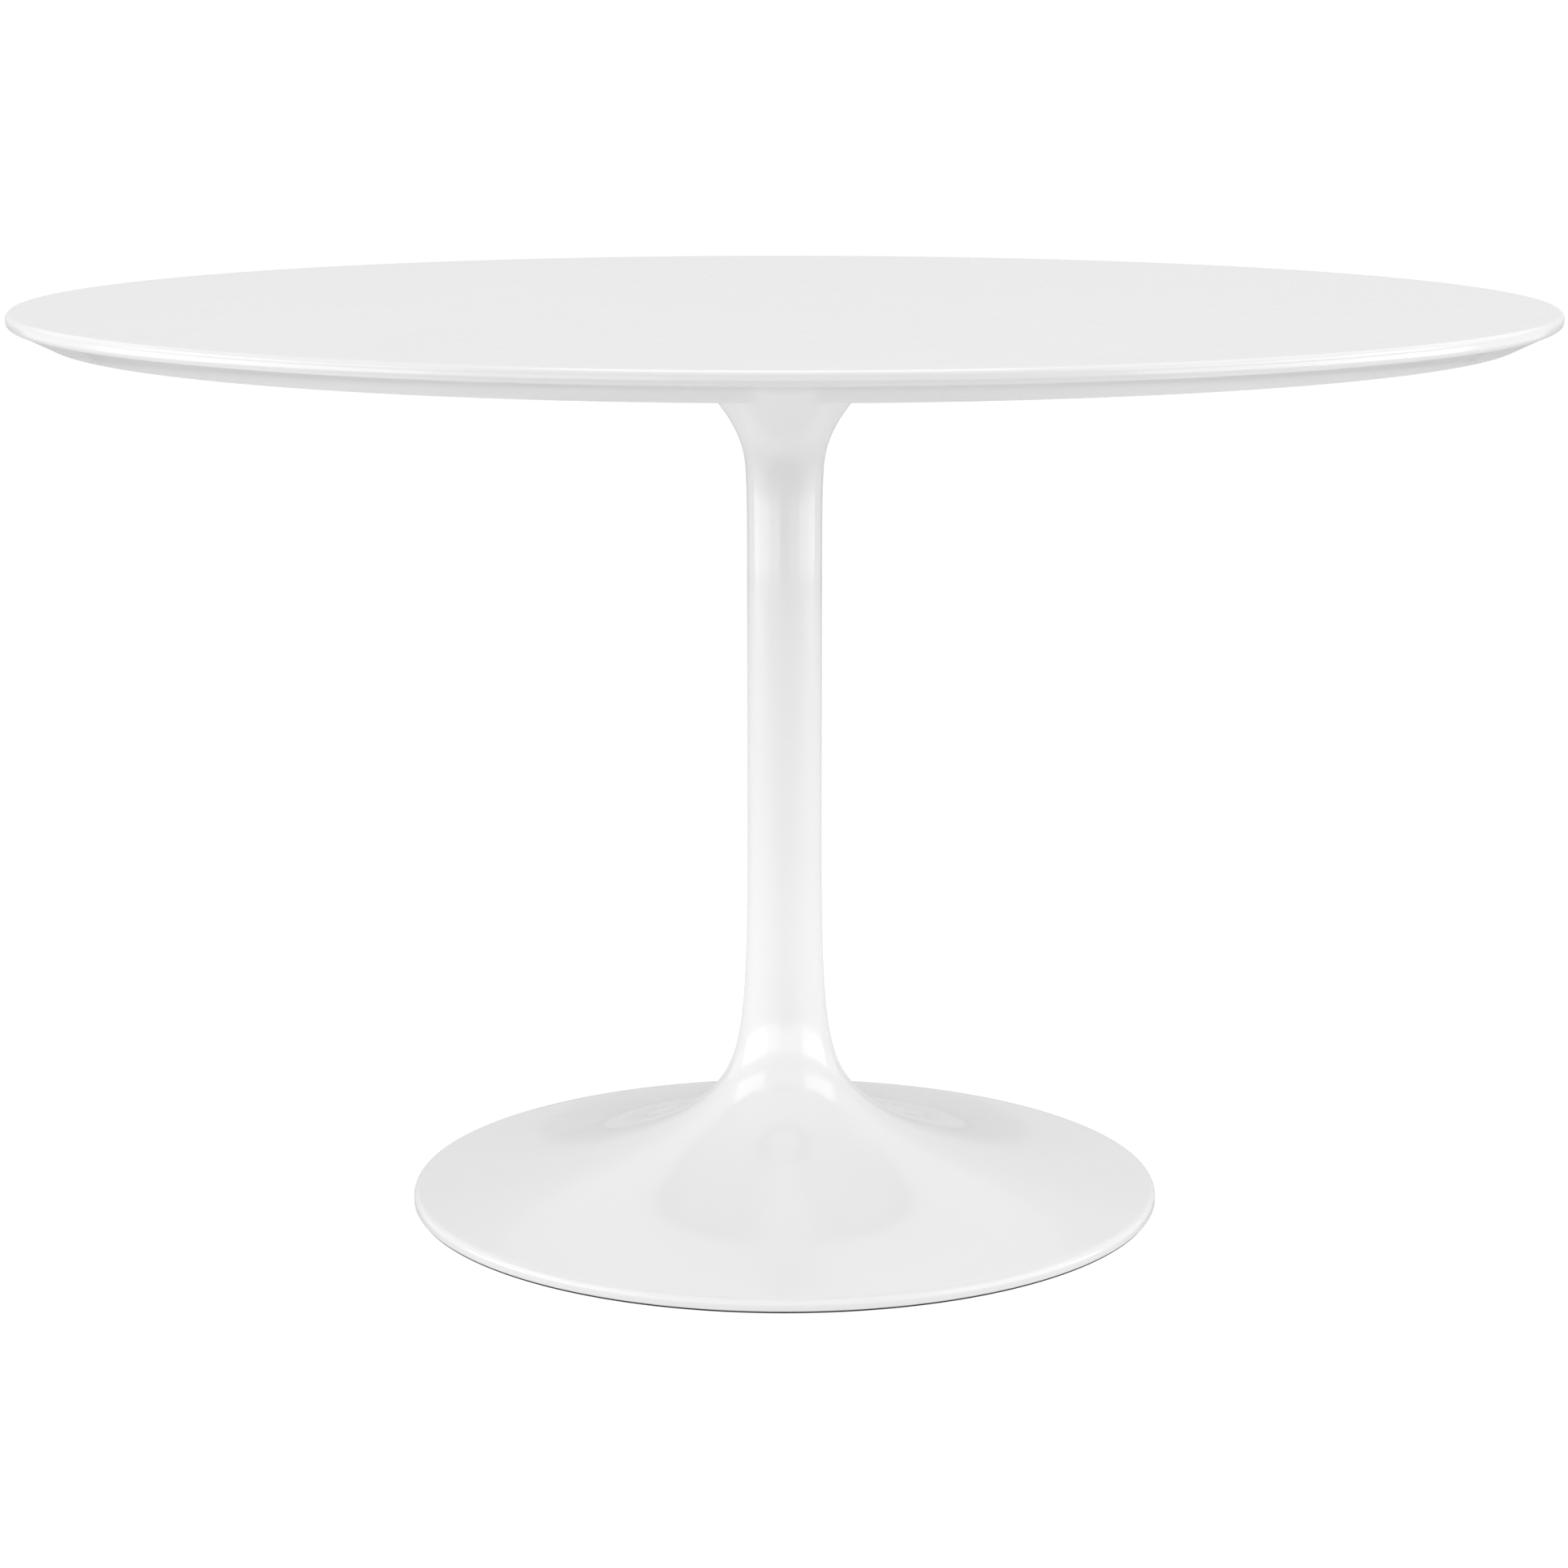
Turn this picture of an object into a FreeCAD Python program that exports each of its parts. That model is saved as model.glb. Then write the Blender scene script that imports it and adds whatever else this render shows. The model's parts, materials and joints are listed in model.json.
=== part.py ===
import FreeCAD, Part
import math
import os

import Sketcher

# Round pedestal table.  A lacquered board sits on a cast pedestal: a wide
# trumpet-shaped bell, a slim column and a flare under the board, in one
# casting.  A steel plate is screwed under the board, and one tie rod through
# the column pulls the plate down and the cast-iron ballast up.
#
# The origin is the centre of the base on the floor, +Z is up.  Lengths are in
# millimetres and angles in degrees.

DIMENSIONS = [
    # whole table
    ("table_height", 730.0),
    ("top_diameter", 1204.0),
    ("base_diameter", 608.0),
    ("column_diameter", 60.0),
    # board
    ("board_thickness", 24.0),
    ("nose_height", 11.0),
    ("nose_round", 4.5),
    ("bevel_width", 31.0),
    # pedestal casting: wall and foot rim
    ("wall", 5.0),
    ("rim_height", 11.0),
    ("rim_round", 5.0),
    ("rim_edge_round", 1.0),
    ("rim_width", 14.0),
    # pedestal casting: bell, from the rim up to the column
    ("bell_slope", 4.2),
    ("bell_reach", 80.0),
    ("bell_sweep_radius", 140.0),
    ("bell_sweep_height", 37.0),
    ("bell_turn_offset", 8.0),
    ("bell_turn_height", 85.0),
    ("bell_rise_height", 158.0),
    ("bell_top_height", 310.0),
    # pedestal casting: flare under the plate, depths from its flat top
    ("flare_diameter", 200.0),
    ("flare_lip", 5.0),
    ("flare_sweep_offset", 4.0),
    ("flare_sweep_depth", 58.0),
    ("flare_turn_depth", 116.0),
    ("flare_rise_depth", 131.0),
    ("flare_start_depth", 190.0),
    ("web_thickness", 8.0),
    # pedestal casting: ribs and ballast bosses inside the bell
    ("rib_count", 8.0),
    ("rib_thickness", 5.0),
    ("rib_clearance", 1.0),
    ("rib_bite", 2.0),
    ("boss_diameter", 18.0),
    ("boss_thread_depth", 15.0),
    # rubber ring under the rim
    ("ring_thickness", 1.5),
    ("ring_inset", 1.5),
    ("tongue_width", 4.0),
    ("tongue_height", 3.5),
    # steel plate under the board
    ("plate_diameter", 320.0),
    ("plate_thickness", 5.0),
    ("plate_edge_break", 0.8),
    ("plate_screw_circle", 260.0),
    ("plate_screw_count", 8.0),
    ("hub_diameter", 36.0),
    ("hub_height", 30.0),
    ("hub_edge_break", 1.5),
    ("pin_diameter", 6.0),
    ("pin_circle", 140.0),
    ("pin_count", 2.0),
    # M6 button-head screws, washers and threaded inserts
    ("plate_screw_diameter", 6.0),
    ("plate_screw_length", 16.0),
    ("plate_screw_head_diameter", 10.5),
    ("plate_screw_head_height", 3.3),
    ("plate_screw_head_flat", 5.4),
    ("plate_screw_head_lip", 0.6),
    ("plate_screw_socket", 4.0),
    ("plate_screw_socket_depth", 2.0),
    ("plate_washer_diameter", 12.0),
    ("plate_washer_thickness", 1.6),
    ("insert_diameter", 10.0),
    ("insert_length", 13.0),
    ("insert_flange_diameter", 12.0),
    ("insert_flange_thickness", 1.2),
    # M12 tie rod and its nut and washers
    ("rod_diameter", 12.0),
    ("rod_end_height", 2.5),
    ("thread_end_chamfer", 1.0),
    ("rod_engagement", 26.0),
    ("rod_washer_diameter", 36.0),
    ("rod_washer_thickness", 3.0),
    ("spring_washer_diameter", 21.0),
    ("spring_washer_thickness", 2.5),
    ("spring_washer_split", 2.0),
    ("nut_across_flats", 18.0),
    ("nut_height", 10.8),
    ("nut_chamfer_overrun", 1.0),
    ("nut_chamfer_angle", 30.0),
    # cast-iron ballast discs and their M8 countersunk screws
    ("ballast_floor_gap", 8.0),
    ("lower_disc_diameter", 300.0),
    ("lower_disc_thickness", 12.0),
    ("lower_disc_recess", 60.0),
    ("upper_disc_diameter", 200.0),
    ("upper_disc_thickness", 18.0),
    ("disc_edge_break", 2.0),
    ("ballast_screw_count", 4.0),
    ("ballast_screw_diameter", 8.0),
    ("ballast_screw_length", 25.0),
    ("ballast_screw_head_diameter", 15.8),
    ("ballast_screw_head_height", 4.4),
    ("ballast_screw_socket", 5.0),
    ("ballast_screw_socket_depth", 2.6),
    # clearances, each on the radius or at the end of a hole
    ("thread_clearance", 0.05),
    ("press_clearance", 0.03),
    ("hole_clearance", 0.5),
    ("hub_clearance", 0.25),
    ("tongue_clearance", 0.15),
    ("countersink_clearance", 0.15),
    ("blind_clearance", 0.6),
]


class Size:
    """A length, angle or count: its value, and the sheet formula behind it."""

    def __init__(self, value, formula):
        self.value = value
        self.formula = formula

    def _join(self, other, value, sign):
        return Size(value, f"({self.formula} {sign} {other.formula})")

    def __add__(self, other):
        other = size_of(other)
        return self._join(other, self.value + other.value, "+")

    def __sub__(self, other):
        other = size_of(other)
        return self._join(other, self.value - other.value, "-")

    def __mul__(self, other):
        other = size_of(other)
        return self._join(other, self.value * other.value, "*")

    def __truediv__(self, other):
        other = size_of(other)
        return self._join(other, self.value / other.value, "/")

    def __neg__(self):
        return Size(-self.value, f"(0 - {self.formula})")


def size_of(number):
    """A plain number as a Size; a Size stays as it is."""
    if isinstance(number, Size):
        return number
    return Size(float(number), repr(float(number)))


def sine(angle):
    return Size(math.sin(math.radians(angle.value)), f"sin({angle.formula})")


def cosine(angle):
    return Size(math.cos(math.radians(angle.value)), f"cos({angle.formula})")


def tangent(angle):
    return sine(angle) / cosine(angle)


def hypotenuse(a, b):
    return Size(math.hypot(a.value, b.value), f"sqrt({a.formula}^2 + {b.formula}^2)")


FULL_TURN = 360
HEXAGON_SIDES = 6
ZERO = size_of(0)


class Sheet:
    """The driving dimensions: a spreadsheet, and each cell by name as a Size."""

    def __init__(self, doc, dimensions):
        sheet = doc.addObject("Spreadsheet::Sheet", "Dimensions")
        for row, (name, value) in enumerate(dimensions, start=1):
            sheet.set(f"A{row}", name)
            sheet.set(f"B{row}", repr(value))
            sheet.setAlias(f"B{row}", name)
            setattr(self, name, Size(value, f"Dimensions.{name}"))
        doc.recompute()


doc = FreeCAD.newDocument("PedestalTable")
dim = Sheet(doc, DIMENSIONS)

# radii
top_radius = dim.top_diameter / 2
base_radius = dim.base_diameter / 2
column_radius = dim.column_diameter / 2
flare_radius = dim.flare_diameter / 2
rim_inner_radius = base_radius - dim.rim_width
ring_radius = base_radius - dim.ring_inset
tongue_radius = base_radius - dim.rim_width / 2
hub_radius = dim.hub_diameter / 2
lower_disc_radius = dim.lower_disc_diameter / 2
upper_disc_radius = dim.upper_disc_diameter / 2
boss_circle_radius = (lower_disc_radius + upper_disc_radius) / 2
screw_circle_radius = dim.plate_screw_circle / 2
pin_circle_radius = dim.pin_circle / 2
pin_radius = dim.pin_diameter / 2
rod_radius = dim.rod_diameter / 2
plate_screw_radius = dim.plate_screw_diameter / 2
ballast_screw_radius = dim.ballast_screw_diameter / 2
thread_hole_radius = rod_radius + dim.thread_clearance

# heights above the floor
rim_bottom = dim.ring_thickness
board_bottom = dim.table_height - dim.board_thickness
pedestal_top = board_bottom - dim.plate_thickness
web_bottom = pedestal_top - dim.web_thickness
hub_bottom = pedestal_top - dim.hub_height
lower_disc_bottom = dim.ballast_floor_gap
disc_joint = lower_disc_bottom + dim.lower_disc_thickness
upper_disc_top = disc_joint + dim.upper_disc_thickness
rod_washer_bottom = disc_joint - dim.rod_washer_thickness
spring_washer_bottom = rod_washer_bottom - dim.spring_washer_thickness
nut_bottom = spring_washer_bottom - dim.nut_height
rod_top = hub_bottom + dim.rod_engagement

# the first ballast boss and its screw, midway between two ribs
half_rib_step = size_of(FULL_TURN / 2) / dim.rib_count
boss_x = boss_circle_radius * cosine(half_rib_step)
boss_y = boss_circle_radius * sine(half_rib_step)


# Making bodies, sketches and features

def new_body(label, height=ZERO):
    """A body named after its sub-part, lifted to its height above the floor."""
    body = doc.addObject("PartDesign::Body", label)
    body.Label = label
    body.AllowCompound = True
    body.setExpression("Placement.Base.z", height.formula)
    return body


def origin_feature(body, role):
    return next(item for item in body.Origin.OriginFeatures if item.Role == role)


class Outline:
    """A sketch on one of its body's planes, its points tied to the sheet.

    Its own origin can be moved along the plane (across) and off it (up).
    """

    def __init__(self, body, name, role="XZ_Plane", across=ZERO, aside=ZERO, up=ZERO):
        self.sketch = body.newObject("Sketcher::SketchObject", name)
        self.sketch.AttachmentSupport = [(origin_feature(body, role), "")]
        self.sketch.MapMode = "FlatFace"
        for direction, shift in (("x", across), ("y", aside), ("z", up)):
            self.sketch.setExpression(f"AttachmentOffset.Base.{direction}", shift.formula)
        self.first = None
        self.last = None

    def bind(self, constraint, size):
        index = self.sketch.addConstraint(constraint)
        self.sketch.setExpression(f"Constraints[{index}]", size.formula)

    def tie(self, geo, point, x, y):
        """Fix one point of the sketch at x, y."""
        for kind, axis, size in (("DistanceX", -2, x), ("DistanceY", -1, y)):
            if size is ZERO:
                self.sketch.addConstraint(Sketcher.Constraint("PointOnObject", geo, point, axis))
            else:
                self.bind(Sketcher.Constraint(kind, -1, 1, geo, point, size.value), size)

    def follow(self, geo, start, end, target, closing):
        """Join a new edge to the path and fix its far end."""
        if self.last is None:
            self.tie(geo, start, *self.begin_at)
            self.first = (geo, start)
        else:
            self.sketch.addConstraint(Sketcher.Constraint("Coincident", *self.last, geo, start))
        if closing:
            self.sketch.addConstraint(Sketcher.Constraint("Coincident", geo, end, *self.first))
        else:
            self.tie(geo, end, *target)
        self.last = (geo, end)
        self.here = target

    def begin(self, x, y):
        self.begin_at = (size_of(x), size_of(y))
        self.here = self.begin_at
        return self

    def line(self, x, y, closing=False):
        target = (x, y)
        ends = [FreeCAD.Vector(p[0].value, p[1].value, 0) for p in (self.here, target)]
        geo = self.sketch.addGeometry(Part.LineSegment(*ends), False)
        self.follow(geo, 1, 2, target, closing)
        return self

    def close(self):
        return self.line(*self.begin_at, closing=True)

    def arc(self, x, y, centre, radius):
        """A round of less than half a turn, to x, y."""
        target = (x, y)
        middle = FreeCAD.Vector(centre[0].value, centre[1].value, 0)
        angles = [
            math.atan2(p[1].value - middle.y, p[0].value - middle.x) for p in (self.here, target)
        ]
        anticlockwise = (angles[1] - angles[0]) % (2 * math.pi) < math.pi
        start, end = (1, 2) if anticlockwise else (2, 1)
        if not anticlockwise:
            angles.reverse()
        circle = Part.Circle(middle, FreeCAD.Vector(0, 0, 1), radius.value)
        geo = self.sketch.addGeometry(Part.ArcOfCircle(circle, *angles), False)
        self.follow(geo, start, end, target, False)
        self.bind(Sketcher.Constraint("Radius", geo, radius.value), radius)
        return self

    def spline(self, poles):
        """A cubic curve from here over the given poles, ending on the last."""
        every = [self.here] + poles
        spans = len(every) - 3
        curve = Part.BSplineCurve()
        curve.buildFromPolesMultsKnots(
            [FreeCAD.Vector(x.value, y.value, 0) for x, y in every],
            [4] + [1] * (spans - 1) + [4],
            [float(knot) for knot in range(spans + 1)],
            False,
            3,
        )
        geo = self.sketch.addGeometry(curve, False)
        self.sketch.exposeInternalGeometry(geo)
        for number, pole in enumerate(poles[:-1], start=2):
            self.tie(geo + number, 3, *pole)
        self.follow(geo, 1, 2, poles[-1], False)
        return self

    def circle(self, x, y, radius):
        middle = FreeCAD.Vector(x.value, y.value, 0)
        circle = Part.Circle(middle, FreeCAD.Vector(0, 0, 1), radius.value)
        geo = self.sketch.addGeometry(circle, False)
        self.tie(geo, 3, x, y)
        self.bind(Sketcher.Constraint("Radius", geo, radius.value), radius)
        return self

    def hexagon(self, across_flats):
        """A hexagon about the sketch's own origin, two corners along x."""
        corner_radius = across_flats / math.sqrt(3)
        corners = []
        for step in range(HEXAGON_SIDES):
            angle = math.radians(FULL_TURN * step / HEXAGON_SIDES)
            x = corner_radius * round(math.cos(angle), 12)
            y = ZERO if step % 3 == 0 else corner_radius * round(math.sin(angle), 12)
            corners.append((x, y))
        self.begin(*corners[0])
        for corner in corners[1:]:
            self.line(*corner)
        return self.close()


def revolve(body, outline, name, kind="Revolution"):
    """Turn an outline all round the sketch's upright axis."""
    feature = body.newObject(f"PartDesign::{kind}", name)
    feature.Profile = outline.sketch
    feature.ReferenceAxis = (outline.sketch, ["V_Axis"])
    feature.Angle = FULL_TURN
    return feature


def extrude(body, outline, name, length, kind="Pad", upward=True, both=False):
    """Raise (Pad) or cut (Pocket) an outline along +Z of its sketch, or down."""
    feature = body.newObject(f"PartDesign::{kind}", name)
    feature.Profile = outline.sketch
    feature.Midplane = both
    feature.Reversed = upward == (kind == "Pocket")
    feature.setExpression("Length", length.formula)
    return feature


def ring_of(body, name, features, count):
    """Repeat features evenly round the body's upright axis."""
    pattern = body.newObject("PartDesign::PolarPattern", name)
    pattern.Originals = features
    pattern.Axis = (origin_feature(body, "Z_Axis"), [""])
    pattern.Angle = FULL_TURN
    pattern.setExpression("Occurrences", count.formula)
    body.Tip = pattern
    return pattern


def chamfered_disc(body, name, radius, thickness, edge_break, hole_radius=ZERO):
    """A turned disc with its two outer edges broken, on the body's origin."""
    outline = Outline(body, f"{name}_section")
    outline.begin(hole_radius, ZERO)
    outline.line(radius - edge_break, ZERO)
    outline.line(radius, edge_break)
    outline.line(radius, thickness - edge_break)
    outline.line(radius - edge_break, thickness)
    outline.line(hole_radius, thickness)
    outline.close()
    return revolve(body, outline, name)


def plain_ring(body, name, outer_radius, hole_radius, thickness, across=ZERO):
    """A flat washer; across moves its own axis away from the body's."""
    outline = Outline(body, f"{name}_section", across=across)
    outline.begin(hole_radius, ZERO)
    outline.line(outer_radius, ZERO)
    outline.line(outer_radius, thickness)
    outline.line(hole_radius, thickness)
    outline.close()
    return revolve(body, outline, name)


def pole_normal(before, after):
    """Unit normal, pointing into the metal, of the leg between two poles."""
    run = after[0] - before[0]
    rise = after[1] - before[1]
    length = hypotenuse(run, rise)
    return (-rise / length, run / length)


def inset_pole(before, pole, after, depth):
    """A pole moved into the metal so that both of its legs sink by depth."""
    first = pole_normal(before, pole)
    second = pole_normal(pole, after)
    across = first[0] + second[0]
    up = first[1] + second[1]
    stretch = (across * first[0]) + (up * first[1])
    return (pole[0] + across * depth / stretch, pole[1] + up * depth / stretch)


# The pedestal's curved outline.  Poles run from the rim up to the flat top.

rim_curve_start = (base_radius - dim.rim_round * (size_of(1) - sine(dim.bell_slope)), dim.rim_height)
bell_poles = [
    rim_curve_start,
    (
        rim_curve_start[0] - dim.bell_reach * cosine(dim.bell_slope),
        dim.rim_height + dim.bell_reach * sine(dim.bell_slope),
    ),
    (dim.bell_sweep_radius, dim.bell_sweep_height),
    (column_radius + dim.bell_turn_offset, dim.bell_turn_height),
    (column_radius, dim.bell_rise_height),
    (column_radius, dim.bell_top_height),
]
flare_poles = [
    (column_radius, pedestal_top - dim.flare_start_depth),
    (column_radius, pedestal_top - dim.flare_rise_depth),
    (column_radius, pedestal_top - dim.flare_turn_depth),
    (column_radius + dim.flare_sweep_offset, pedestal_top - dim.flare_sweep_depth),
    (flare_radius, pedestal_top - dim.flare_lip),
]


def sunk_bell_poles(depth, end_radius):
    """The bell's poles sunk into the wall, column first, out to end_radius."""
    sunk = [(column_radius - depth, dim.bell_top_height)]
    for number in range(len(bell_poles) - 2, 0, -1):
        sunk.append(inset_pole(*bell_poles[number - 1:number + 2], depth))
    fall = (rim_curve_start[0] - end_radius) * tangent(dim.bell_slope)
    end_height = dim.rim_height - depth / cosine(dim.bell_slope) + fall
    return sunk + [(end_radius, end_height)]


def sunk_flare_poles(depth, end_height):
    """The flare's poles sunk into the wall, top first, from end_height."""
    sweep, lip = flare_poles[-2:]
    run = lip[0] - sweep[0]
    rise = lip[1] - sweep[1]
    side_step = depth * hypotenuse(run, rise) / rise
    back_step = (lip[1] - end_height) * run / rise
    sunk = [(lip[0] - side_step - back_step, end_height)]
    for number in range(len(flare_poles) - 2, 0, -1):
        sunk.append(inset_pole(*flare_poles[number - 1:number + 2], depth))
    return sunk + [(column_radius - depth, flare_poles[0][1])]


# Sub-parts

def make_table_top():
    """The board: flat top, rounded nose, long bevel underneath."""
    body = new_body("table_top", board_bottom)
    nose_radius = top_radius - dim.nose_round
    nose_bottom = dim.board_thickness - dim.nose_height
    upper_centre = (nose_radius, dim.board_thickness - dim.nose_round)
    lower_centre = (nose_radius, nose_bottom + dim.nose_round)
    outline = Outline(body, "board_section")
    outline.begin(ZERO, ZERO)
    outline.line(top_radius - dim.bevel_width, ZERO)
    outline.line(nose_radius, nose_bottom)
    outline.arc(top_radius, lower_centre[1], lower_centre, dim.nose_round)
    outline.line(top_radius, upper_centre[1])
    outline.arc(nose_radius, dim.board_thickness, upper_centre, dim.nose_round)
    outline.line(ZERO, dim.board_thickness)
    outline.close()
    revolve(body, outline, "board")

    hole = Outline(body, "insert_hole_outline", "XY_Plane")
    hole.circle(screw_circle_radius, ZERO, dim.insert_diameter / 2 + dim.press_clearance)
    hole_depth = dim.insert_length + dim.blind_clearance
    drilled = extrude(body, hole, "insert_hole", hole_depth, "Pocket")
    seat = Outline(body, "insert_seat_outline", "XY_Plane")
    seat.circle(screw_circle_radius, ZERO, dim.insert_flange_diameter / 2 + dim.press_clearance)
    sunk = extrude(body, seat, "insert_seat", dim.insert_flange_thickness, "Pocket")
    ring_of(body, "insert_holes", [drilled, sunk], dim.plate_screw_count)
    return body


def make_threaded_inserts():
    """Brass screw-in inserts, their flanges flush with the board's underside."""
    body = new_body("threaded_inserts", board_bottom)
    bore = plate_screw_radius + dim.thread_clearance
    flange_radius = dim.insert_flange_diameter / 2
    outline = Outline(body, "insert_section", across=screw_circle_radius)
    outline.begin(bore, ZERO)
    outline.line(flange_radius, ZERO)
    outline.line(flange_radius, dim.insert_flange_thickness)
    outline.line(dim.insert_diameter / 2, dim.insert_flange_thickness)
    outline.line(dim.insert_diameter / 2, dim.insert_length)
    outline.line(bore, dim.insert_length)
    outline.close()
    insert = revolve(body, outline, "insert")
    ring_of(body, "inserts", [insert], dim.plate_screw_count)
    return body


def make_mounting_plate():
    """The round steel plate between the board and the pedestal."""
    body = new_body("mounting_plate", pedestal_top)
    chamfered_disc(
        body, "plate", dim.plate_diameter / 2, dim.plate_thickness, dim.plate_edge_break
    )
    screw_hole = Outline(body, "screw_hole_outline", "XY_Plane")
    screw_hole.circle(screw_circle_radius, ZERO, plate_screw_radius + dim.hole_clearance)
    drilled = extrude(body, screw_hole, "screw_hole", dim.plate_thickness, "Pocket")
    ring_of(body, "screw_holes", [drilled], dim.plate_screw_count)
    pin_hole = Outline(body, "pin_hole_outline", "XY_Plane")
    pin_hole.circle(pin_circle_radius, ZERO, pin_radius + dim.press_clearance)
    reamed = extrude(body, pin_hole, "pin_hole", dim.plate_thickness, "Pocket")
    ring_of(body, "pin_holes", [reamed], dim.pin_count)
    return body


def make_plate_screws():
    """M6 button-head screws with hexagon sockets, up through the plate."""
    head_bottom = pedestal_top - dim.plate_washer_thickness - dim.plate_screw_head_height
    body = new_body("plate_screws", head_bottom)
    head_radius = dim.plate_screw_head_diameter / 2
    flat_radius = dim.plate_screw_head_flat / 2
    shank_top = dim.plate_screw_head_height + dim.plate_screw_length
    rise = dim.plate_screw_head_height - dim.plate_screw_head_lip
    run = head_radius - flat_radius
    dome_radius = (run * run + rise * rise) / (run * 2)
    dome_centre = (head_radius - dome_radius, rise)
    outline = Outline(body, "screw_section", across=screw_circle_radius)
    outline.begin(ZERO, ZERO)
    outline.line(flat_radius, ZERO)
    outline.arc(head_radius, rise, dome_centre, dome_radius)
    outline.line(head_radius, dim.plate_screw_head_height)
    outline.line(plate_screw_radius, dim.plate_screw_head_height)
    outline.line(plate_screw_radius, shank_top - dim.thread_end_chamfer)
    outline.line(plate_screw_radius - dim.thread_end_chamfer, shank_top)
    outline.line(ZERO, shank_top)
    outline.close()
    screw = revolve(body, outline, "screw")
    socket = Outline(body, "socket_outline", "XY_Plane", across=screw_circle_radius)
    socket.hexagon(dim.plate_screw_socket)
    cut = extrude(body, socket, "socket", dim.plate_screw_socket_depth, "Pocket")
    ring_of(body, "screws", [screw, cut], dim.plate_screw_count)
    return body


def make_plate_washers():
    """A flat washer between each screw head and the plate."""
    body = new_body("plate_washers", pedestal_top - dim.plate_washer_thickness)
    hole_radius = plate_screw_radius + dim.hole_clearance
    washer = plain_ring(
        body,
        "washer",
        dim.plate_washer_diameter / 2,
        hole_radius,
        dim.plate_washer_thickness,
        across=screw_circle_radius,
    )
    ring_of(body, "washers", [washer], dim.plate_screw_count)
    return body


def make_plate_hub():
    """The threaded boss welded under the plate, which takes the tie rod."""
    body = new_body("plate_hub", hub_bottom)
    outline = Outline(body, "hub_section")
    outline.begin(thread_hole_radius, ZERO)
    outline.line(hub_radius - dim.hub_edge_break, ZERO)
    outline.line(hub_radius, dim.hub_edge_break)
    outline.line(hub_radius, dim.hub_height)
    outline.line(thread_hole_radius, dim.hub_height)
    outline.close()
    revolve(body, outline, "hub")
    return body


def make_locating_pins():
    """Dowels that stop the plate turning on the pedestal."""
    body = new_body("locating_pins", web_bottom)
    length = dim.web_thickness + dim.plate_thickness - dim.blind_clearance
    outline = Outline(body, "pin_section", across=pin_circle_radius)
    outline.begin(ZERO, ZERO)
    outline.line(pin_radius, ZERO)
    outline.line(pin_radius, length)
    outline.line(ZERO, length)
    outline.close()
    pin = revolve(body, outline, "pin")
    ring_of(body, "pins", [pin], dim.pin_count)
    return body


def pedestal_section(body):
    """Half section of the casting: outside up to the flat top, inside down."""
    edge = dim.rim_edge_round
    groove_half = dim.tongue_width / 2 + dim.tongue_clearance
    groove_top = rim_bottom + dim.tongue_height + dim.tongue_clearance
    rim_centre = (base_radius - dim.rim_round,
                  dim.rim_height - dim.rim_round * cosine(dim.bell_slope))
    web_hole_radius = hub_radius + dim.hub_clearance
    flare_inside = sunk_flare_poles(dim.wall, web_bottom)
    bell_inside = sunk_bell_poles(dim.wall, rim_inner_radius)

    outline = Outline(body, "casting_section")
    outline.begin(rim_inner_radius, rim_bottom)
    outline.line(tongue_radius - groove_half, rim_bottom)
    outline.line(tongue_radius - groove_half, groove_top)
    outline.line(tongue_radius + groove_half, groove_top)
    outline.line(tongue_radius + groove_half, rim_bottom)
    outline.line(base_radius - edge, rim_bottom)
    outline.arc(base_radius, rim_bottom + edge, (base_radius - edge, rim_bottom + edge), edge)
    outline.line(base_radius, rim_centre[1])
    outline.arc(*rim_curve_start, rim_centre, dim.rim_round)
    outline.spline(bell_poles[1:])
    outline.line(*flare_poles[0])
    outline.spline(flare_poles[1:])
    outline.line(flare_radius, pedestal_top)
    outline.line(web_hole_radius, pedestal_top)
    outline.line(web_hole_radius, web_bottom)
    outline.line(*flare_inside[0])
    outline.spline(flare_inside[1:])
    outline.line(*bell_inside[0])
    outline.spline(bell_inside[1:])
    outline.close()
    return outline


def rib_outline(body):
    """One rib in the bell, stepped over the two ballast discs."""
    sunk = dim.wall / 2
    rib_end = rim_inner_radius + dim.rib_bite
    curve = sunk_bell_poles(sunk, rib_end)
    inner = column_radius - sunk
    upper_step = upper_disc_radius + dim.rib_clearance
    lower_step = lower_disc_radius + dim.rib_clearance
    upper_level = upper_disc_top + dim.rib_clearance
    lower_level = disc_joint + dim.rib_clearance
    rim_level = dim.rim_height - dim.wall

    outline = Outline(body, "rib_outline")
    outline.begin(*curve[0])
    outline.spline(curve[1:])
    outline.line(rib_end, rim_level)
    outline.line(lower_step, rim_level)
    outline.line(lower_step, lower_level)
    outline.line(upper_step, lower_level)
    outline.line(upper_step, upper_level)
    outline.line(inner, upper_level)
    outline.close()
    return outline


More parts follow.
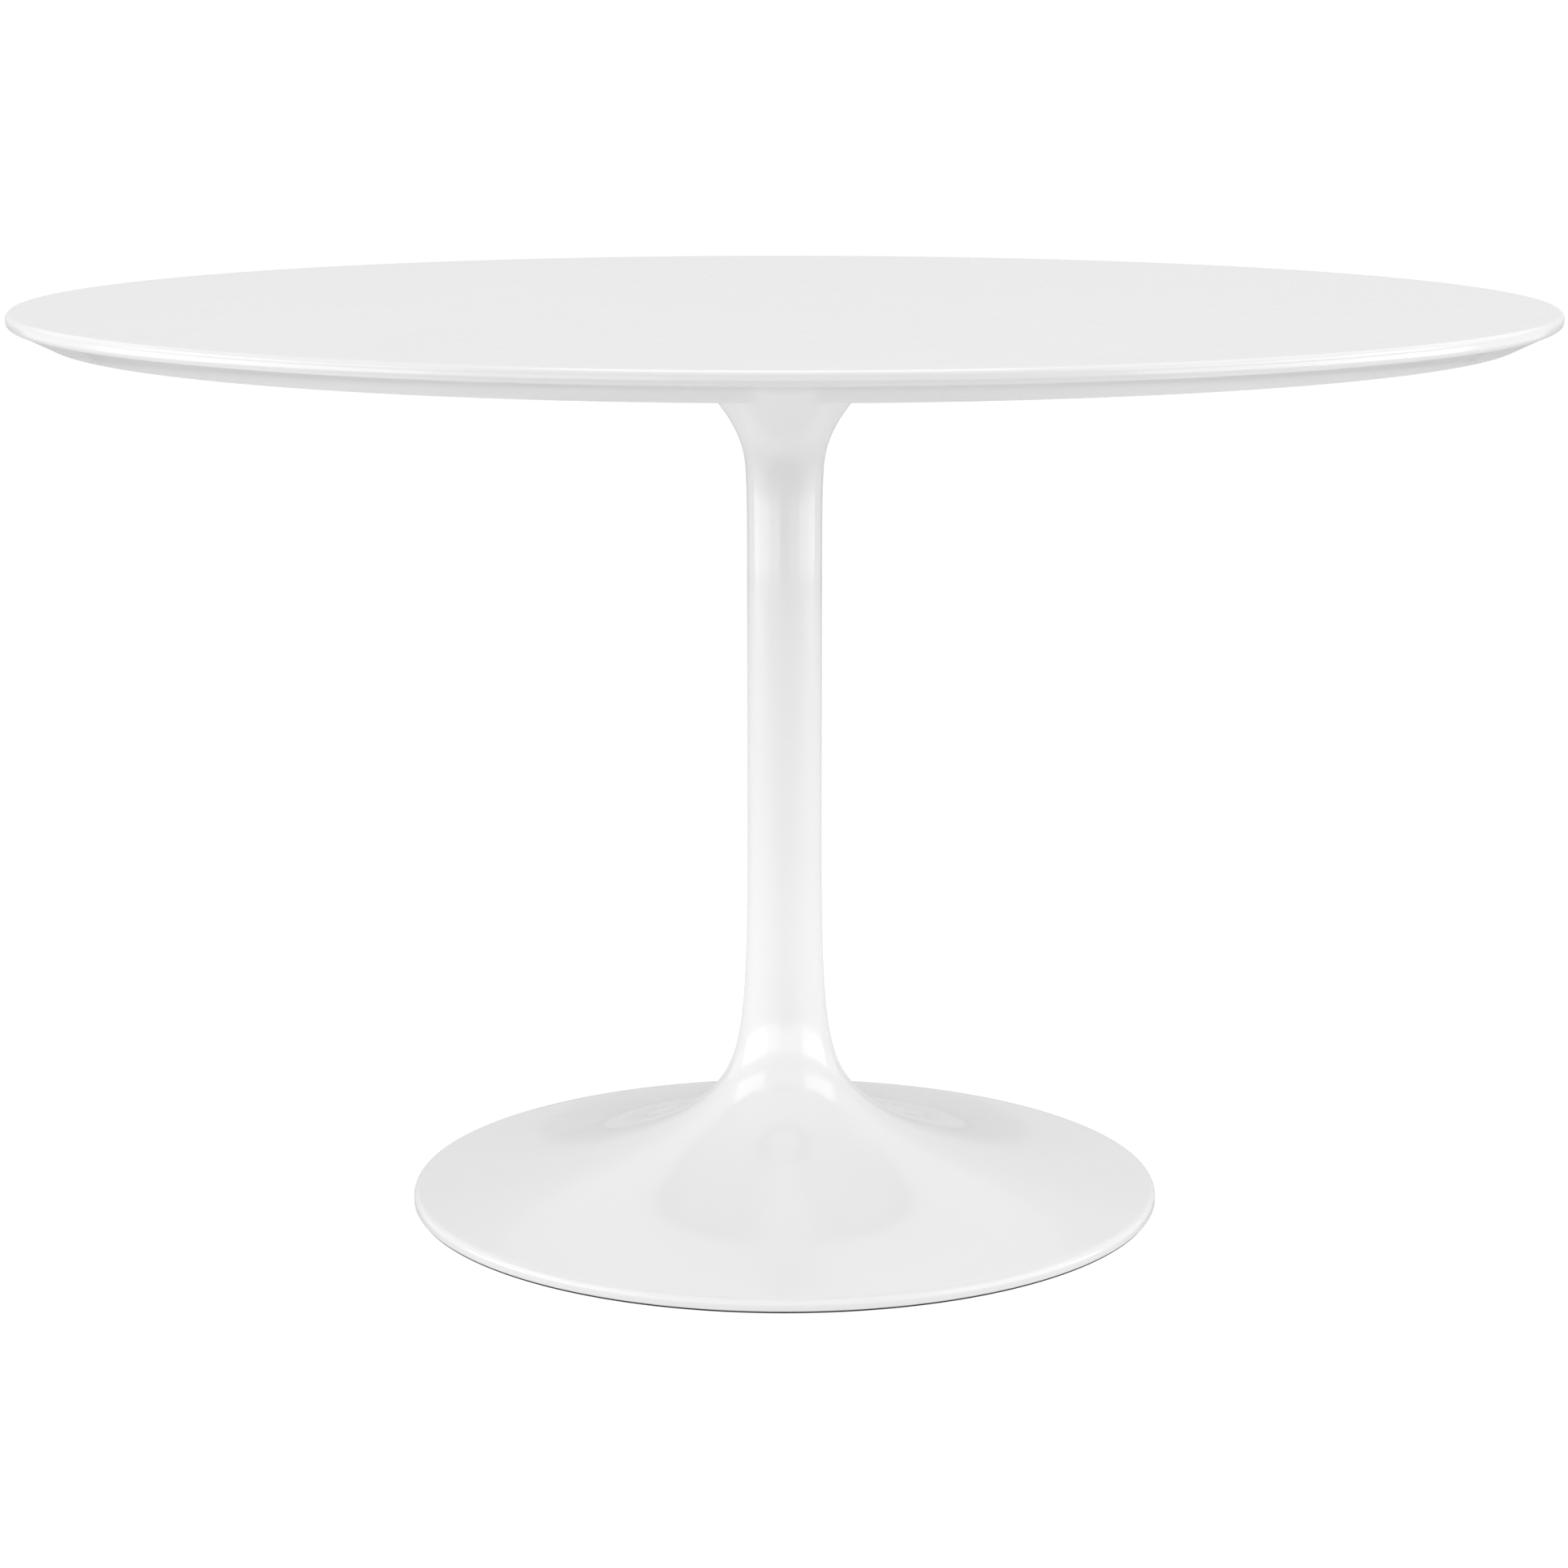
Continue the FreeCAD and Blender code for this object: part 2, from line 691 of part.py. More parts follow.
def make_pedestal():
    """The hollow casting, with ribs and ballast bosses inside the bell."""
    body = new_body("pedestal")
    revolve(body, pedestal_section(body), "casting")
    rib = extrude(body, rib_outline(body), "rib", dim.rib_thickness, both=True)
    ring_of(body, "ribs", [rib], dim.rib_count)

    boss_outline = Outline(body, "boss_outline", "XY_Plane", up=disc_joint)
    boss_outline.circle(boss_x, boss_y, dim.boss_diameter / 2)
    boss = extrude(body, boss_outline, "boss", dim.boss_diameter)
    boss.Type = "UpToFirst"
    ring_of(body, "bosses", [boss], dim.ballast_screw_count)
    thread_outline = Outline(body, "boss_thread_outline", "XY_Plane", up=disc_joint)
    thread_outline.circle(boss_x, boss_y, ballast_screw_radius + dim.thread_clearance)
    thread = extrude(body, thread_outline, "boss_thread", dim.boss_thread_depth, "Pocket")
    ring_of(body, "boss_threads", [thread], dim.ballast_screw_count)

    pin_outline = Outline(body, "pin_hole_outline", "XY_Plane", up=web_bottom)
    pin_outline.circle(pin_circle_radius, ZERO, pin_radius + dim.press_clearance)
    pin_hole = extrude(body, pin_outline, "pin_hole", dim.web_thickness, "Pocket")
    ring_of(body, "pin_holes", [pin_hole], dim.pin_count)
    return body


def make_tie_rod():
    """The long M12 rod from the nut under the ballast up into the hub."""
    body = new_body("tie_rod", dim.rod_end_height)
    length = rod_top - dim.rod_end_height
    chamfered_disc(body, "rod", rod_radius, length, dim.thread_end_chamfer)
    return body


def make_bottom_washer():
    """The thick washer under the ballast."""
    body = new_body("bottom_washer", rod_washer_bottom)
    plain_ring(
        body,
        "washer",
        dim.rod_washer_diameter / 2,
        rod_radius + dim.hole_clearance,
        dim.rod_washer_thickness,
    )
    return body


def make_spring_washer():
    """The split spring washer on the nut."""
    body = new_body("spring_washer", spring_washer_bottom)
    outer_radius = dim.spring_washer_diameter / 2
    plain_ring(
        body,
        "washer",
        outer_radius,
        rod_radius + dim.hole_clearance,
        dim.spring_washer_thickness,
    )
    split = Outline(body, "split_outline", "XY_Plane")
    half = dim.spring_washer_split / 2
    split.begin(rod_radius, -half)
    split.line(dim.spring_washer_diameter, -half)
    split.line(dim.spring_washer_diameter, half)
    split.line(rod_radius, half)
    split.close()
    extrude(body, split, "split", dim.spring_washer_thickness, "Pocket")
    return body


def make_bottom_nut():
    """The M12 hexagon nut, its corners chamfered at both ends."""
    body = new_body("bottom_nut", nut_bottom)
    blank = Outline(body, "nut_outline", "XY_Plane")
    blank.hexagon(dim.nut_across_flats)
    blank.circle(ZERO, ZERO, thread_hole_radius)
    extrude(body, blank, "nut_blank", dim.nut_height)
    flats_radius = dim.nut_across_flats / 2
    beyond = dim.nut_across_flats / math.sqrt(3) + dim.nut_chamfer_overrun
    rise = (beyond - flats_radius) * tangent(dim.nut_chamfer_angle)
    for name, level, step in (
        ("lower_chamfer", ZERO, rise),
        ("upper_chamfer", dim.nut_height, dim.nut_height - rise),
    ):
        wedge = Outline(body, f"{name}_section")
        wedge.begin(flats_radius, level)
        wedge.line(beyond, level)
        wedge.line(beyond, step)
        wedge.close()
        revolve(body, wedge, name, "Groove")
    return body


def make_ballast_disc_lower():
    """The wide cast-iron disc, recessed for the nut, countersunk for screws."""
    body = new_body("ballast_disc_lower", lower_disc_bottom)
    chamfered_disc(
        body,
        "disc",
        lower_disc_radius,
        dim.lower_disc_thickness,
        dim.disc_edge_break,
        dim.lower_disc_recess / 2,
    )
    head_radius = dim.ballast_screw_head_diameter / 2 + dim.countersink_clearance
    hole_radius = ballast_screw_radius + dim.hole_clearance
    cone_height = dim.ballast_screw_head_height + dim.countersink_clearance
    section = Outline(body, "hole_section", across=boss_x, up=-boss_y)
    section.begin(ZERO, ZERO)
    section.line(head_radius, ZERO)
    section.line(hole_radius, cone_height)
    section.line(hole_radius, dim.lower_disc_thickness)
    section.line(ZERO, dim.lower_disc_thickness)
    section.close()
    hole = revolve(body, section, "hole", "Groove")
    ring_of(body, "holes", [hole], dim.ballast_screw_count)
    return body


def make_ballast_disc_upper():
    """The thick cast-iron disc on top, clamped by the tie rod."""
    body = new_body("ballast_disc_upper", disc_joint)
    chamfered_disc(
        body,
        "disc",
        upper_disc_radius,
        dim.upper_disc_thickness,
        dim.disc_edge_break,
        rod_radius + dim.hole_clearance,
    )
    return body


def make_ballast_screws():
    """M8 countersunk screws that hold the ballast to the casting's bosses."""
    body = new_body("ballast_screws", lower_disc_bottom)
    outline = Outline(body, "screw_section", across=boss_x, up=-boss_y)
    outline.begin(ZERO, ZERO)
    outline.line(dim.ballast_screw_head_diameter / 2, ZERO)
    outline.line(ballast_screw_radius, dim.ballast_screw_head_height)
    outline.line(ballast_screw_radius, dim.ballast_screw_length - dim.thread_end_chamfer)
    outline.line(ballast_screw_radius - dim.thread_end_chamfer, dim.ballast_screw_length)
    outline.line(ZERO, dim.ballast_screw_length)
    outline.close()
    screw = revolve(body, outline, "screw")
    socket = Outline(body, "socket_outline", "XY_Plane", across=boss_x, aside=boss_y)
    socket.hexagon(dim.ballast_screw_socket)
    cut = extrude(body, socket, "socket", dim.ballast_screw_socket_depth, "Pocket")
    ring_of(body, "screws", [screw, cut], dim.ballast_screw_count)
    return body


def make_foot_ring():
    """The rubber ring under the rim, held by its tongue in the rim's groove."""
    body = new_body("foot_ring")
    half = dim.tongue_width / 2
    tongue_top = dim.ring_thickness + dim.tongue_height
    outline = Outline(body, "ring_section")
    outline.begin(rim_inner_radius, ZERO)
    outline.line(ring_radius, ZERO)
    outline.line(ring_radius, dim.ring_thickness)
    outline.line(tongue_radius + half, dim.ring_thickness)
    outline.line(tongue_radius + half, tongue_top)
    outline.line(tongue_radius - half, tongue_top)
    outline.line(tongue_radius - half, dim.ring_thickness)
    outline.line(rim_inner_radius, dim.ring_thickness)
    outline.close()
    revolve(body, outline, "ring")
    return body


def check(items):
    """Stop if any object failed, or a sub-part has no sound solid."""
    for item in doc.Objects:
        if "Invalid" in item.State or "Error" in item.State:
            raise RuntimeError(f"{item.Name} failed: {item.State}")
    for item in items:
        shape = item.Shape
        if shape.isNull() or not shape.isValid() or not shape.Solids:
            raise RuntimeError(f"{item.Label} has no valid solid")


def export(items):
    """Write each sub-part to its own file, named after it."""
    os.makedirs("parts", exist_ok=True)
    for item in items:
        item.Shape.exportStep(f"parts/{item.Label}.step")
        volume = item.Shape.Volume / 1000
        print(f"{item.Label}: {len(item.Shape.Solids)} solids, {volume:.2f} cm3")


subparts = [
    make_table_top(),
    make_threaded_inserts(),
    make_mounting_plate(),
    make_plate_screws(),
    make_plate_washers(),
    make_plate_hub(),
    make_locating_pins(),
    make_pedestal(),
    make_tie_rod(),
    make_bottom_washer(),
    make_spring_washer(),
    make_bottom_nut(),
    make_ballast_disc_lower(),
    make_ballast_disc_upper(),
    make_ballast_screws(),
    make_foot_ring(),
]
doc.recompute()
check(subparts)
export(subparts)
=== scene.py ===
import json
import math

import bpy
import numpy as np
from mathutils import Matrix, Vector


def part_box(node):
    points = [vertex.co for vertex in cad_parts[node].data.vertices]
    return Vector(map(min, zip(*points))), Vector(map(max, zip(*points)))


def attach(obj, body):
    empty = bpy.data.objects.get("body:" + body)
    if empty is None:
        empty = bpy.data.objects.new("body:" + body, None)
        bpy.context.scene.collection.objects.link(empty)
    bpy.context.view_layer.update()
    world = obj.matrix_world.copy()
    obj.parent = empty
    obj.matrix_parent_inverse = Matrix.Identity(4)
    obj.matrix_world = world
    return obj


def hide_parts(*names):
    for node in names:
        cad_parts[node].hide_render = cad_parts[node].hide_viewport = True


# Looks of the round pedestal table.  Everything is in metres, in the frame of
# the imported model: origin at the centre of the foot on the floor, +Z up, and
# the front of the table toward -Y.

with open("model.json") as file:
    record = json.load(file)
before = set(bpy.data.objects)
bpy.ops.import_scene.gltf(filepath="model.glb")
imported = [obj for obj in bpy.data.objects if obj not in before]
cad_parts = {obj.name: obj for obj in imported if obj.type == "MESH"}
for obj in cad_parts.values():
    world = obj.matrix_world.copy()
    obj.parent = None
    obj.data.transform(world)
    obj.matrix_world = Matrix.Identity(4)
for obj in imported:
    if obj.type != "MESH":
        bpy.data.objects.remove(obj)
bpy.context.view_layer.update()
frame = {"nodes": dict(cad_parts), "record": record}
ROOT = "root"
MM = 0.001


# ---- sizes read from the frame -------------------------------------------

def box_radius(node):
    low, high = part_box(node)
    return max(high.x, high.y, -low.x, -low.y)


board_low, board_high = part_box("table_top")
pedestal_low, pedestal_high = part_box("pedestal")
ring_low, ring_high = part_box("foot_ring")

TOP_RADIUS = box_radius("table_top")
BASE_RADIUS = box_radius("pedestal")
BOARD_BOTTOM = board_low.z
BOARD_TOP = board_high.z
PEDESTAL_TOP = pedestal_high.z
RIM_BOTTOM = pedestal_low.z
FLOOR = ring_low.z
DISC_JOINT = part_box("ballast_disc_upper")[0].z
DISC_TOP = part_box("ballast_disc_upper")[1].z

# ---- sizes of the board's edge and of the casting, as in the design --------

NOSE_HEIGHT = 11 * MM
NOSE_ROUND = 4.5 * MM
BEVEL_WIDTH = 31 * MM
BOARD_CORNER_ROUND = 0.8 * MM
BOARD_SEGMENTS = 512
# Rings of the flat faces, as shares of their radius: under the board, and on top.
UNDERSIDE_RINGS = (0.4, 0.7, 0.97)
TOP_RINGS = (0.985, 0.93, 0.75, 0.5, 0.25)

WALL = 5 * MM
COLUMN_RADIUS = 30 * MM
FLARE_RADIUS = 100 * MM
FLARE_LIP = 5 * MM
FLARE_LIP_ROUND = 1 * MM
WEB_THICKNESS = 8 * MM
WEB_HOLE_RADIUS = 18.25 * MM
RIM_HEIGHT = 11 * MM
RIM_ROUND = 5 * MM
RIM_EDGE_ROUND = 1 * MM
RIM_WIDTH = 14 * MM
CASTING_SEGMENTS = 320
BELL_SLOPE = math.radians(4.2)
BELL_REACH = 80 * MM
BELL_TOP = 310 * MM
FLARE_START_DEPTH = 190 * MM

WEB_BOTTOM = PEDESTAL_TOP - WEB_THICKNESS
RIM_INNER = BASE_RADIUS - RIM_WIDTH
TONGUE_RADIUS = BASE_RADIUS - RIM_WIDTH / 2
GROOVE_HALF_WIDTH = 2.15 * MM
GROOVE_HEIGHT = 3.65 * MM
TONGUE_HALF_WIDTH = 2 * MM
TONGUE_HEIGHT = 3.5 * MM
RING_EDGE = 0.4 * MM

RIB_COUNT = 8
RIB_HALF_THICKNESS = 2.5 * MM
RIB_EDGE = 0.6 * MM
RIB_BITE = 2 * MM
RIB_CLEARANCE = 1 * MM
RIB_TIP_WIDTH = 3 * RIB_EDGE
BOSS_COUNT = 4
BOSS_SEGMENTS = 32
BOSS_RADIUS = 9 * MM
BOSS_CIRCLE = 125 * MM
BOSS_THREAD_RADIUS = 4.05 * MM
BOSS_THREAD_DEPTH = 15 * MM

PLATE_EDGE = 0.8 * MM
PLATE_SEGMENTS = 192
SCREW_COUNT = 8
SCREW_CIRCLE = 130 * MM
SCREW_HOLE_RADIUS = 3.5 * MM
PIN_COUNT = 2
PIN_CIRCLE = 70 * MM
PIN_HOLE_RADIUS = 3.03 * MM
INSERT_HOLE_RADIUS = 5.03 * MM
INSERT_HOLE_DEPTH = 13.6 * MM
INSERT_SEAT_RADIUS = 6.03 * MM
INSERT_SEAT_DEPTH = 1.2 * MM

DISC_EDGE = 2 * MM
WIDE_DISC_SEGMENTS = 192
THICK_DISC_SEGMENTS = 160
DISC_RECESS_RADIUS = 30 * MM
DISC_HOLE_RADIUS = 4.5 * MM
DISC_SINK_RADIUS = 8.05 * MM
DISC_SINK_DEPTH = 4.55 * MM
ROD_HOLE_RADIUS = 6.5 * MM
ROD_PITCH = 1.75 * MM
ROD_THREAD_DEPTH = 1 * MM
ROD_THREAD_LENGTH = 34 * MM
ROD_CHAMFER = 1 * MM
ROD_SEGMENTS = 40
ROD_STEPS_PER_TURN = 8

HOLE_SEGMENTS = 48
# How far a cutter reaches past the face it enters or leaves by.
CUT_PAST = 1 * MM


# ---- outlines ---------------------------------------------------------------

def b_spline(poles, count):
    """Points along a clamped cubic B-spline with evenly spaced knots."""
    poles = np.array(poles, float)
    spans = len(poles) - 3
    knots = [0.0] * 3 + list(range(spans + 1)) + [float(spans)] * 3
    points = []
    for u in np.linspace(0, spans, count):
        span = min(int(u), spans - 1) + 3
        work = [poles[span - 3 + i].copy() for i in range(4)]
        for level in range(1, 4):
            for i in range(3, level - 1, -1):
                left = knots[span - 3 + i]
                right = knots[span + 1 + i - level]
                share = (u - left) / (right - left)
                work[i] = (1 - share) * work[i - 1] + share * work[i]
        points.append(tuple(work[3]))
    return points


def arc(centre, radius, start, end, count):
    """Points on a round, from the start angle to the end angle in degrees."""
    return [
        (centre[0] + radius * math.cos(a), centre[1] + radius * math.sin(a))
        for a in np.radians(np.linspace(start, end, count))
    ]


def rounded(corners, radius, count=5):
    """An open outline through the corners, each inner corner rounded off."""
    points = [corners[0]]
    for before, corner, after in zip(corners, corners[1:], corners[2:]):
        at = Vector(corner)
        back = (Vector(before) - at).normalized()
        ahead = (Vector(after) - at).normalized()
        half_turn = back.angle(ahead) / 2
        reach = radius / math.tan(half_turn)
        room = 0.45 * min((Vector(before) - at).length, (Vector(after) - at).length)
        if reach < room:
            size = radius
        else:
            size = room * math.tan(half_turn)
            reach = room
        middle = at + (back + ahead).normalized() * (size / math.sin(half_turn))
        first = at + back * reach - middle
        last = at + ahead * reach - middle
        for share in np.linspace(0, 1, count):
            spoke = first.lerp(last, share).normalized() * size
            points.append(tuple(middle + spoke))
    points.append(corners[-1])
    return points


def inset(points, depth):
    """The same outline, moved to its right-hand side by depth."""
    path = np.array(points, float)
    along = np.gradient(path, axis=0)
    along /= np.linalg.norm(along, axis=1)[:, None]
    side = np.stack([along[:, 1], -along[:, 0]], axis=1)
    return [tuple(p) for p in path + side * depth]


# The bell's curve: from the rim's round, up its gentle slope, into the column.
rim_curve_start = (BASE_RADIUS - RIM_ROUND * (1 - math.sin(BELL_SLOPE)), RIM_HEIGHT)
BELL_POLES = [
    rim_curve_start,
    (
        rim_curve_start[0] - BELL_REACH * math.cos(BELL_SLOPE),
        RIM_HEIGHT + BELL_REACH * math.sin(BELL_SLOPE),
    ),
    (140 * MM, 37 * MM),
    (COLUMN_RADIUS + 8 * MM, 85 * MM),
    (COLUMN_RADIUS, 158 * MM),
    (COLUMN_RADIUS, BELL_TOP),
]
# The flare's curve starts inside the straight column and ends at its lip.
FLARE_POLES = [
    (COLUMN_RADIUS, PEDESTAL_TOP - FLARE_START_DEPTH),
    (COLUMN_RADIUS, PEDESTAL_TOP - 131 * MM),
    (COLUMN_RADIUS, PEDESTAL_TOP - 116 * MM),
    (COLUMN_RADIUS + 4 * MM, PEDESTAL_TOP - 58 * MM),
    (FLARE_RADIUS, PEDESTAL_TOP - FLARE_LIP),
]
BELL = b_spline(BELL_POLES, 110)
FLARE = b_spline(FLARE_POLES, 60)


def inset_loop(corners, depth):
    """A closed outline, drawn clockwise, with every side moved in by depth."""
    moved = []
    for i, corner in enumerate(corners):
        at = Vector(corner)
        back = (at - Vector(corners[i - 1])).normalized()
        ahead = (Vector(corners[(i + 1) % len(corners)]) - at).normalized()
        first = Vector((back.y, -back.x))
        second = Vector((ahead.y, -ahead.x))
        both = first + second
        moved.append(tuple(at + both * (depth / both.dot(first))))
    return moved


def evenly(start, end, count):
    """Points on a straight line, without its two ends."""
    shares = np.linspace(0, 1, count + 2)[1:-1]
    return [tuple(Vector(start).lerp(Vector(end), share)) for share in shares]


# ---- meshes -----------------------------------------------------------------

SHARP_ANGLE = math.radians(35)


def make_mesh(name, vertices, faces):
    mesh = bpy.data.meshes.new(name)
    mesh.from_pydata(vertices, [], faces)
    mesh.validate()
    mesh.shade_smooth()
    mesh.set_sharp_from_angle(angle=SHARP_ANGLE)
    piece = bpy.data.objects.new(name, mesh)
    bpy.context.scene.collection.objects.link(piece)
    return piece


def turned(outline, segments, closed, axis=(0.0, 0.0)):
    """Vertices and faces of (radius, height) points turned about an upright axis.

    An open outline starts and ends on the axis; a closed one goes all round.
    """
    turns = 2 * math.pi * np.arange(segments) / segments
    rings = []
    vertices = []
    for radius, height in outline:
        first = len(vertices)
        if radius < 1e-9:
            rings.append([first])
            vertices.append((axis[0], axis[1], height))
        else:
            rings.append(list(range(first, first + segments)))
            vertices += [
                (axis[0] + radius * math.cos(t), axis[1] + radius * math.sin(t), height)
                for t in turns
            ]
    pairs = list(zip(rings, rings[1:]))
    if closed:
        pairs.append((rings[-1], rings[0]))
    faces = []
    for low, high in pairs:
        for i in range(segments):
            j = (i + 1) % segments
            if len(low) == 1:
                faces.append((low[0], high[j], high[i]))
            elif len(high) == 1:
                faces.append((low[i], low[j], high[0]))
            else:
                faces.append((low[i], low[j], high[j], high[i]))
    return vertices, faces


def lathe(name, outline, segments, closed):
    return make_mesh(name, *turned(outline, segments, closed))


def joined(shapes):
    """Several sets of vertices and faces, made one set."""
    vertices = []
    faces = []
    for more_vertices, more_faces in shapes:
        first = len(vertices)
        vertices += more_vertices
        faces += [tuple(first + i for i in face) for face in more_faces]
    return vertices, faces


def around(count, radius, first_turn=0.0):
    """Places evenly spaced on a circle, the first at a part of a full turn."""
    turns = [2 * math.pi * (first_turn + i / count) for i in range(count)]
    return [(radius * math.cos(t), radius * math.sin(t)) for t in turns]


# The ballast bosses stand midway between two ribs.
BOSS_PLACES = around(BOSS_COUNT, BOSS_CIRCLE, 1 / (2 * RIB_COUNT))


def plain_hole(radius, bottom, top):
    """The outline of a straight hole."""
    return [(0.0, bottom), (radius, bottom), (radius, top), (0.0, top)]


def skinned(count):
    """Faces over four loops of as many points each, with both ends closed."""
    faces = [tuple(range(count)), tuple(range(4 * count - 1, 3 * count - 1, -1))]
    for start in (0, count, 2 * count):
        for i in range(count):
            j = (i + 1) % count
            faces.append((start + j, start + i, start + count + i, start + count + j))
    return faces


def drill(piece, places, outline):
    """Cut holes of one outline out of a piece, at each of the places."""
    shapes = [turned(outline, HOLE_SEGMENTS, False, place) for place in places]
    cutter = make_mesh("cutter", *joined(shapes))
    cut = piece.modifiers.new("holes", "BOOLEAN")
    cut.operation = "DIFFERENCE"
    cut.solver = "EXACT"
    cut.object = cutter
    solid = piece.data
    graph = bpy.context.evaluated_depsgraph_get()
    piece.data = bpy.data.meshes.new_from_object(piece.evaluated_get(graph))
    piece.modifiers.clear()
    piece.data.shade_smooth()
    piece.data.set_sharp_from_angle(angle=SHARP_ANGLE)
    bpy.data.meshes.remove(solid)
    bpy.data.objects.remove(cutter)


# ---- shader building --------------------------------------------------------

class Shader:
    """A material with a Principled surface, and short calls for its nodes."""

    def __init__(self, name, roughness, metallic=0.0, coat=0.0, coat_roughness=0.03):
        self.material = bpy.data.materials.new(name)
        self.material.use_nodes = True
        self.tree = self.material.node_tree
        self.surface = self.tree.nodes["Principled BSDF"]
        self.surface.inputs["Roughness"].default_value = roughness
        self.surface.inputs["Metallic"].default_value = metallic
        self.surface.inputs["Coat Weight"].default_value = coat
        self.surface.inputs["Coat Roughness"].default_value = coat_roughness
        self.place = self.tree.nodes.new("ShaderNodeTexCoord").outputs["Object"]

    def link(self, source, target):
        self.tree.links.new(source, target)

    def noise(self, scale, detail=2.0, roughness=0.5, stretch=None):
        source = self.place
        if stretch is not None:
            mapping = self.tree.nodes.new("ShaderNodeMapping")
            mapping.inputs["Scale"].default_value = stretch
            self.link(source, mapping.inputs["Vector"])
            source = mapping.outputs["Vector"]
        node = self.tree.nodes.new("ShaderNodeTexNoise")
        node.inputs["Scale"].default_value = scale
        node.inputs["Detail"].default_value = detail
        node.inputs["Roughness"].default_value = roughness
        self.link(source, node.inputs["Vector"])
        return node.outputs["Fac"]

    def between(self, factor, low, high, from_low=0.3, from_high=0.7):
        """The factor, stretched to run from one number to another."""
        node = self.tree.nodes.new("ShaderNodeMapRange")
        node.inputs["From Min"].default_value = from_low
        node.inputs["From Max"].default_value = from_high
        node.inputs["To Min"].default_value = low
        node.inputs["To Max"].default_value = high
        self.link(factor, node.inputs["Value"])
        return node.outputs["Result"]

    def mix(self, factor, first, second):
        """Colour between two colours or colour outputs."""
        node = self.tree.nodes.new("ShaderNodeMix")
        node.data_type = "RGBA"
        self.link(factor, node.inputs["Factor"])
        for socket, value in ((node.inputs[6], first), (node.inputs[7], second)):
            if isinstance(value, tuple):
                socket.default_value = (*value, 1.0)
            else:
                self.link(value, socket)
        return node.outputs[2]

    def colour(self, source):
        self.link(source, self.surface.inputs["Base Color"])

    def roughness(self, source):
        self.link(source, self.surface.inputs["Roughness"])

    def bump(self, height, distance, strength=1.0, after=None):
        node = self.tree.nodes.new("ShaderNodeBump")
        node.inputs["Strength"].default_value = strength
        node.inputs["Distance"].default_value = distance
        self.link(height, node.inputs["Height"])
        if after is not None:
            self.link(after, node.inputs["Normal"])
        self.link(node.outputs["Normal"], self.surface.inputs["Normal"])
        return node.outputs["Normal"]


# ---- materials --------------------------------------------------------------
# Noise scales are in waves per metre; bump depths are given in millimetres.

# Between these levels of its noise a lacquer's fine specks fade in.
SPECKS = (0.55, 0.85)


def grey(value, tint=0.0):
    """A near-neutral colour; a positive tint is a little warmer."""
    return (value * (1 + tint), value, value * (1 - tint))


def board_lacquer():
    """Gloss white lacquer on fine board: faint peel, faint drift of tone."""
    shader = Shader("board_lacquer", 0.2, coat=0.6, coat_roughness=0.06)
    drift = shader.noise(2.2, detail=1.0)
    speck = shader.noise(210, detail=2.0)
    tone = shader.mix(shader.between(drift, 0, 1), grey(0.795, 0.002), grey(0.805, -0.001))
    shader.colour(shader.mix(shader.between(speck, 0, 0.1, *SPECKS), tone, grey(0.76)))
    wipe = shader.noise(9, detail=4.0, roughness=0.6, stretch=(1.0, 0.35, 1.0))
    shader.roughness(shader.between(wipe, 0.17, 0.25))
    shader.bump(shader.noise(340, detail=1.0), 0.005 * MM, 0.4)
    return shader.material


def pedestal_lacquer():
    """Gloss white lacquer on a smoothed casting: soft waves under the gloss."""
    shader = Shader("pedestal_lacquer", 0.2, coat=0.6, coat_roughness=0.05)
    drift = shader.noise(5, detail=1.0)
    speck = shader.noise(260, detail=2.0)
    # Painted light: this white is set lighter than the board's lacquer, to brighten the column
    # and foot against the shade under the table.
    tone = shader.mix(shader.between(drift, 0, 1), grey(0.842, 0.001), grey(0.852, -0.001))
    shader.colour(shader.mix(shader.between(speck, 0, 0.1, *SPECKS), tone, grey(0.80)))
    haze = shader.noise(14, detail=4.0, roughness=0.6)
    shader.roughness(shader.between(haze, 0.16, 0.24))
    wave = shader.bump(shader.noise(22, detail=0.0), 0.06 * MM, 0.4)
    shader.bump(shader.noise(420, detail=1.0), 0.01 * MM, 0.5, after=wave)
    return shader.material


def ring_rubber():
    """Black rubber, matt, dusted grey where it is handled and walked past."""
    shader = Shader("ring_rubber", 0.7)
    dust = shader.noise(60, detail=5.0, roughness=0.65)
    shader.colour(shader.mix(shader.between(dust, 0, 1, 0.35, 0.75), grey(0.012), grey(0.035)))
    shader.roughness(shader.between(dust, 0.6, 0.85))
    shader.bump(shader.noise(1400, detail=2.0), 0.03 * MM)
    return shader.material


def black_powder_coat():
    """Fine-textured black powder coat on steel."""
    shader = Shader("black_powder_coat", 0.45)
    grain = shader.noise(1500, detail=2.0)
    patch = shader.noise(18, detail=3.0)
    shader.colour(shader.mix(shader.between(patch, 0, 1), grey(0.020), grey(0.028)))
    shader.roughness(shader.between(patch, 0.4, 0.5))
    shader.bump(grain, 0.06 * MM)
    return shader.material


def zinc_plated_steel():
    """Bright zinc plating: cloudy patches and fine turning marks."""
    shader = Shader("zinc_plated_steel", 0.35, metallic=1.0)
    cloud = shader.noise(420, detail=4.0, roughness=0.6)
    tone = shader.mix(shader.between(cloud, 0, 1), (0.55, 0.56, 0.58), (0.72, 0.73, 0.74))
    shader.colour(tone)
    shader.roughness(shader.between(cloud, 0.25, 0.45))
    shader.bump(shader.noise(2600, detail=1.0, stretch=(1, 1, 6)), 0.01 * MM)
    return shader.material


